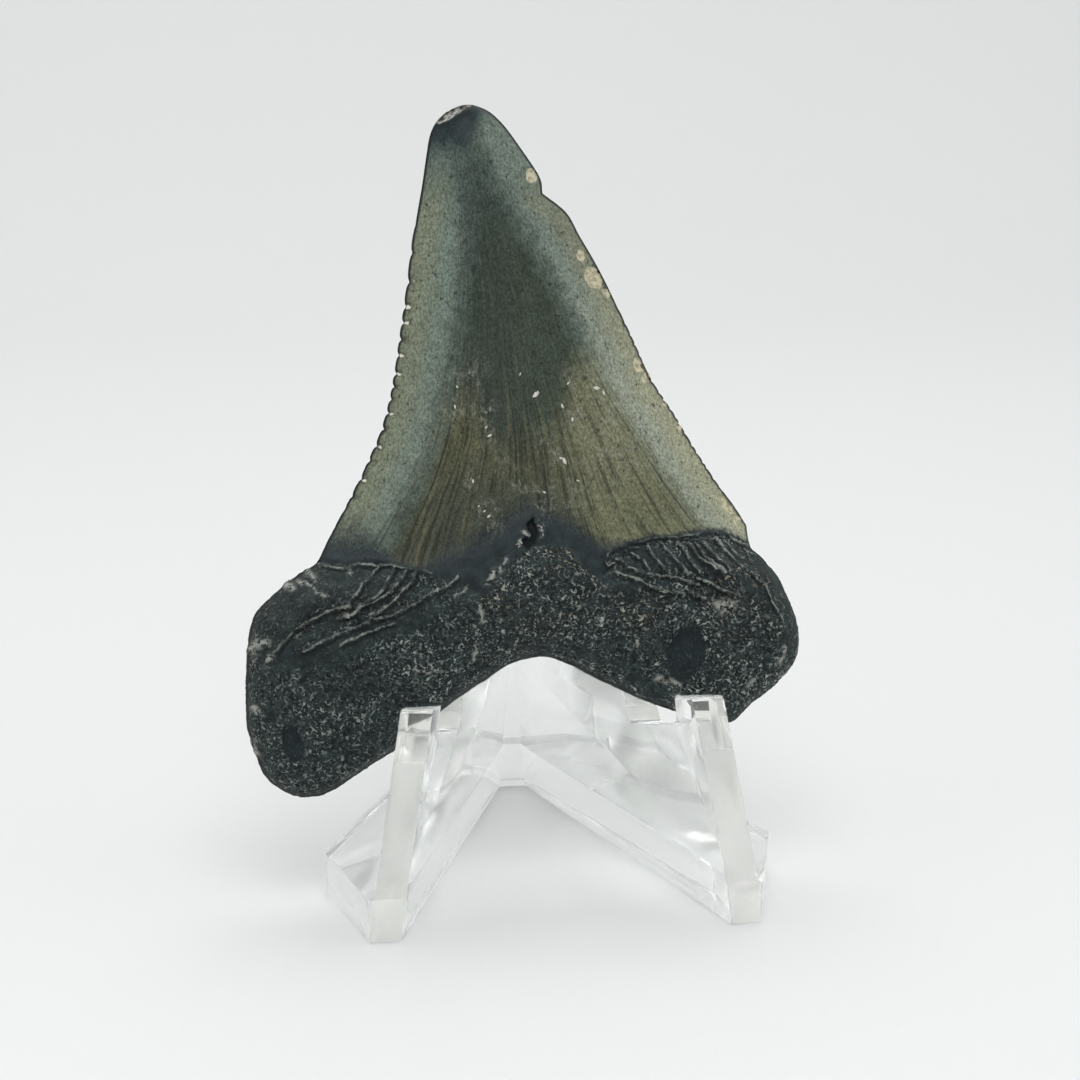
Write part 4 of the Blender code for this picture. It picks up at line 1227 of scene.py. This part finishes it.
def root_colour(tree, place, x, height):
    """Colour of the root: near black with pale wormy crests that are partly painted highlight, browner in
    places, with painted shade in the pores and below the ridges and a painted highlight on the ridges'
    crests.
    """
    crests, _ = worms(tree, place, CARVING_SIZES["Pore Size"])
    fine_crests, _ = worms(tree, scaled(tree, place, (1.0, 1.3, 1.0)), 0.36, 0.47)
    quiet = step_between(tree, layer(tree, "calm"), 0.15, 0.8, 1.0, 0.30)
    pit = step_between(tree, calc(tree, "ADD", layer(tree, "pit"),
                                  calc(tree, "MULTIPLY", grain(tree, place, 1.2, 3.0), 0.7)), 0.55, 0.85)
    unpitted = calc(tree, "SUBTRACT", 1.0, calc(tree, "MULTIPLY", pit, 0.9))
    rough = product(tree, layer(tree, "porous"), quiet, unpitted)
    crowd = step_between(tree, grain(tree, place, 0.28, 2.0), 0.36, 0.62, 0.35, 1.0)
    dark = blend(tree, step_between(tree, grain(tree, place, 0.7, 4.0, 0.7), 0.32, 0.68),
                 linear(22, 30, 32), linear(44, 55, 56))
    # Painted shade in the small hollows between the crests.
    pore_shade = step_between(tree, grain(tree, place, 1.9, 1.0), 0.48, 0.38)
    dark = blend(tree, product(tree, pore_shade, rough, 0.85), dark, linear(13, 17, 18))
    dark = blend(tree, calc(tree, "MULTIPLY", pit, 0.6), dark, linear(26, 35, 38))
    brown = product(tree, step_between(tree, grain(tree, place, 0.2, 2.0), 0.46, 0.62),
                    step_between(tree, height, 8.0, 18.0), 0.7)
    # The pale crests are partly the stone's own pale relief and partly painted highlight; the glint noise
    # makes some of them brighter.
    crest = blend(tree, brown, linear(184, 194, 186), linear(178, 168, 150))
    dash = calc(tree, "MAXIMUM", crests, calc(tree, "MULTIPLY", fine_crests, 0.75))
    painted_glint = step_between(tree, grain(tree, place, 1.5, 1.0), 0.40, 0.66, 0.24, 1.0)
    dash = product(tree, dash, rough, crowd, painted_glint, step_between(tree, x, -20.0, -8.0, 0.74, 1.0))
    base = blend(tree, calc(tree, "MULTIPLY", dash, 0.92), dark, crest)
    # Painted shade just below each shoulder ridge.
    shade = product(tree, layer(tree, "ridge_shade"), layer(tree, "root"), 0.95)
    base = blend(tree, shade, base, linear(14, 18, 19))
    # Painted highlight along the broken crest of each shoulder ridge.
    broken = step_between(tree, grain(tree, place, 0.9, 3.0, 0.7), 0.40, 0.64, 0.10, 1.0)
    ridge = product(tree, step_between(tree, layer(tree, "ridge"), 0.35, 0.9), broken)
    base = blend(tree, calc(tree, "MULTIPLY", ridge, 0.9), base, linear(146, 153, 146))
    return base, dash


def with_outline_marks(tree, colour, place, sound):
    """Painted shade as a dark line along the very edge, painted highlights as pale glints in the notches,
    rubbed places, and painted shade in the small holes.
    """
    to_edge = layer(tree, "to_edge")
    # Painted shade: a dark line along the very edge, where the surface turns away.
    edge = product(tree, step_between(tree, to_edge, 0.10, 0.36, 0.98, 0.0), sound)
    colour = blend(tree, edge, colour, linear(14, 17, 17))
    # Painted highlights: small pale glints in some of the notches.
    painted_glint = product(tree, step_between(tree, layer(tree, "notch"), 0.58, 0.78),
                    step_between(tree, to_edge, 0.06, 0.14), step_between(tree, to_edge, 0.7, 0.45),
                    step_between(tree, grain(tree, place, 0.8, 0.0), 0.46, 0.56))
    colour = blend(tree, calc(tree, "MULTIPLY", painted_glint, 0.95), colour, linear(226, 224, 210))
    rub = product(tree, layer(tree, "rub"), step_between(tree, grain(tree, place, 2.4, 3.0), 0.42, 0.54))
    colour = blend(tree, rub, colour, linear(154, 156, 149))
    # Painted shade in the small holes.
    return blend(tree, calc(tree, "MULTIPLY", layer(tree, "vessel"), 0.8), colour, linear(20, 24, 27))


def use_bump(tree, shader, relief):
    """Let a relief in metres bend the shader's normal."""
    bump = node(tree, "ShaderNodeBump", {"Height": relief, "Strength": 1.0, "Distance": 1.0})
    tree.links.new(bump.outputs[0], shader.inputs["Normal"])


def fossil_finish():
    """Satin enamel over a dull porous root, one stone."""
    material, tree, shader = new_material("fossil_enamel_and_root")
    shader.inputs["Specular IOR Level"].default_value = 0.20
    place = node(tree, "ShaderNodeAttribute", attribute_name="place").outputs["Vector"]
    parts = node(tree, "ShaderNodeSeparateXYZ", {0: place})
    x, height = parts.outputs["X"], parts.outputs["Y"]
    root = layer(tree, "root")

    enamel, mottle, crust, sound = enamel_colour(tree, place, x, height)
    stone, dash = root_colour(tree, place, x, height)
    colour = with_outline_marks(tree, blend(tree, root, enamel, stone), place, sound)
    tree.links.new(colour, shader.inputs["Base Color"])

    root_rough = step_between(tree, dash, 0.0, 1.0, 0.68, 0.5)
    enamel_rough = step_between(tree, mottle, 0.2, 0.8, 0.36, 0.52)
    rough = node(tree, "ShaderNodeMix", None, data_type="FLOAT")
    for index, value in ((0, root), (2, enamel_rough), (3, root_rough)):
        tree.links.new(value, rough.inputs[index])
    tree.links.new(rough.outputs[0], shader.inputs["Roughness"])

    # Fine pitting under what the mesh carries, in millimetres.
    pitting = calc(tree, "ADD", product(tree, grain(tree, place, 3.2, 4.0, 0.7), root, 0.09),
                   product(tree, dash, root, 0.09))
    skin = calc(tree, "ADD", product(tree, grain(tree, place, 2.2, 4.0, 0.6), 0.014),
                calc(tree, "MULTIPLY", crust, 0.03))
    skin = product(tree, skin, calc(tree, "SUBTRACT", 1.0, root))
    use_bump(tree, shader, calc(tree, "MULTIPLY", calc(tree, "ADD", pitting, skin), MM))
    return material


def mineral_finish():
    """Pale flakes of matrix left on the enamel."""
    material, tree, shader = new_material("pale_mineral_flakes")
    place = node(tree, "ShaderNodeTexCoord").outputs["Object"]
    cloud = grain(tree, place, 2500.0, 3.0)
    colour = blend(tree, cloud, linear(176, 176, 166), linear(232, 231, 222))
    tree.links.new(colour, shader.inputs["Base Color"])
    tree.links.new(step_between(tree, cloud, 0.3, 0.7, 0.45, 0.7), shader.inputs["Roughness"])
    use_bump(tree, shader, calc(tree, "MULTIPLY", cloud, 0.05 * MM))
    return material


def clear_plastic_finish():
    """Clear moulding, a little hazy all over and frosted on its milled end faces."""
    material, tree, shader = new_material("clear_moulded_plastic")
    shader.inputs["Transmission Weight"].default_value = 0.93
    shader.inputs["IOR"].default_value = 1.49
    place = node(tree, "ShaderNodeTexCoord").outputs["Object"]
    haze = grain(tree, place, 160.0, 4.0, 0.6)
    milled = layer(tree, "milled")
    clear = blend(tree, haze, linear(252, 253, 252), linear(255, 255, 255))
    colour = blend(tree, milled, clear, linear(252, 251, 245))
    tree.links.new(colour, shader.inputs["Base Color"])
    polish = step_between(tree, haze, 0.35, 0.75, 0.03, 0.09)
    up = node(tree, "ShaderNodeSeparateXYZ", {0: place}).outputs["Z"]
    low, high = CUT_FACE_TOP
    frosted = step_between(tree, up, low * MM, high * MM, 0.34, 0.02)
    rough = calc(tree, "ADD", polish, calc(tree, "MULTIPLY", milled, frosted))
    tree.links.new(rough, shader.inputs["Roughness"])
    flow = grain(tree, scaled(tree, place, (1.0, 1.0, 0.4)), 90.0, 2.0)
    use_bump(tree, shader, calc(tree, "MULTIPLY", flow, 0.012 * MM))
    return material


def table_finish():
    """Matt pale sheet, very slightly clouded."""
    material, tree, shader = new_material("pale_table_sweep")
    place = node(tree, "ShaderNodeTexCoord").outputs["Object"]
    cloud = grain(tree, place, 6.0, 3.0)
    colour = blend(tree, cloud, (0.80, 0.81, 0.81, 1.0), (0.83, 0.84, 0.84, 1.0))
    tree.links.new(colour, shader.inputs["Base Color"])
    shader.inputs["Roughness"].default_value = 0.6
    shader.inputs["Specular IOR Level"].default_value = 0.25
    return material


# ================================ room ================================

SWEEP_HALF_WIDTH = 700.0
SWEEP_FRONT_Y = -520.0
SWEEP_BACK_Y = 260.0
SWEEP_COVE = 160.0
SWEEP_TOP_Z = 900.0
TABLE_Z = -0.12
ROOM_AHEAD = 0.466
ROOM_ASIDE = 1.126


def make_table():
    """Table surface that curves up into the wall behind."""
    profile = [(SWEEP_FRONT_Y, TABLE_Z)]
    for k in range(25):
        turn = math.radians(90 * k / 24)
        profile.append((SWEEP_BACK_Y + SWEEP_COVE * math.sin(turn),
                        SWEEP_COVE * (1 - math.cos(turn)) + TABLE_Z))
    profile.append((SWEEP_BACK_Y + SWEEP_COVE, SWEEP_TOP_Z))
    bm = bmesh.new()
    rows = [[bm.verts.new((x, y, z)) for x in (-SWEEP_HALF_WIDTH, SWEEP_HALF_WIDTH)] for y, z in profile]
    for low, high in zip(rows, rows[1:]):
        bm.faces.new((low[0], low[1], high[1], high[0]))
    table = object_from_bmesh(bm, "pale_table_sweep")
    table.data.shade_smooth()
    table.data.materials.append(table_finish())
    return table


def soft_light(name, place, target, width, height, spread, watts):
    """Rectangular softbox that looks at a target."""
    data = bpy.data.lights.new(name, "AREA")
    data.shape = "RECTANGLE"
    data.size = width * MM
    data.size_y = height * MM
    data.spread = math.radians(spread)
    data.energy = watts
    lamp = bpy.data.objects.new(name, data)
    bpy.context.scene.collection.objects.link(lamp)
    lamp.location = Vector(place) * MM
    lamp.rotation_euler = (Vector(target) - Vector(place)).to_track_quat("-Z", "Y").to_euler()


def make_light():
    """Pale room, brighter to both sides, and two softboxes overhead."""
    world = bpy.data.worlds.new("pale_room")
    bpy.context.scene.world = world
    world.use_nodes = True
    tree = world.node_tree
    way = node(tree, "ShaderNodeTexCoord").outputs["Generated"]
    aside = calc(tree, "ABSOLUTE", node(tree, "ShaderNodeSeparateXYZ", {0: way}).outputs["X"])
    strength = step_between(tree, aside, 0.45, 0.85, ROOM_AHEAD, ROOM_ASIDE)
    shade = tree.nodes["Background"]
    shade.inputs["Color"].default_value = (0.985, 1.0, 0.99, 1.0)
    tree.links.new(strength, shade.inputs["Strength"])
    soft_light("rear_softbox", place=(0.0, 200.0, 480.0), target=(0.0, -60.0, 0.0),
               width=480.0, height=300.0, spread=150.0, watts=0.55)
    soft_light("front_softbox", place=(-30.0, -320.0, 520.0), target=(0.0, -160.0, 0.0),
               width=380.0, height=280.0, spread=180.0, watts=1.18)


def set_tone_and_bounces():
    """Plain tone curve, and enough bounces for light to run through the clear moulding."""
    scene = bpy.context.scene
    scene.view_settings.view_transform = "Standard"
    scene.cycles.max_bounces = 28
    scene.cycles.glossy_bounces = 20
    scene.cycles.transmission_bounces = 24
    scene.cycles.blur_glossy = 0.0
    scene.cycles.sample_clamp_indirect = 0.0


# ================================ camera ================================

CAMERA_YAW_DEG = 7.74
CAMERA_DROP_DEG = 15.38
CAMERA_EYE = Vector((-40.2, -297.5, 115.1))
LENS = 106.67


def make_camera():
    """Camera a little left of the middle and above, without shift."""
    yaw = math.radians(CAMERA_YAW_DEG)
    drop = math.radians(CAMERA_DROP_DEG)
    look = Vector((math.sin(yaw) * math.cos(drop), math.cos(yaw) * math.cos(drop), -math.sin(drop)))
    data = bpy.data.cameras.new("camera")
    data.lens = LENS
    data.sensor_width = 36.0
    data.clip_start = 0.01
    data.clip_end = 10.0
    camera = bpy.data.objects.new("camera", data)
    bpy.context.scene.collection.objects.link(camera)
    camera.location = (CAMERA_EYE + EASEL_AT) * MM
    camera.rotation_euler = look.to_track_quat("-Z", "Y").to_euler()
    bpy.context.scene.camera = camera


# ================================ assembly ================================


make_camera()
make_table()
make_light()
set_tone_and_bounces()

tooth = make_tooth(fossil_finish(), mineral_finish())
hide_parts("tooth")
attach(tooth, "root")

easel = make_easel(clear_plastic_finish())
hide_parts("easel")
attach(easel, "root")
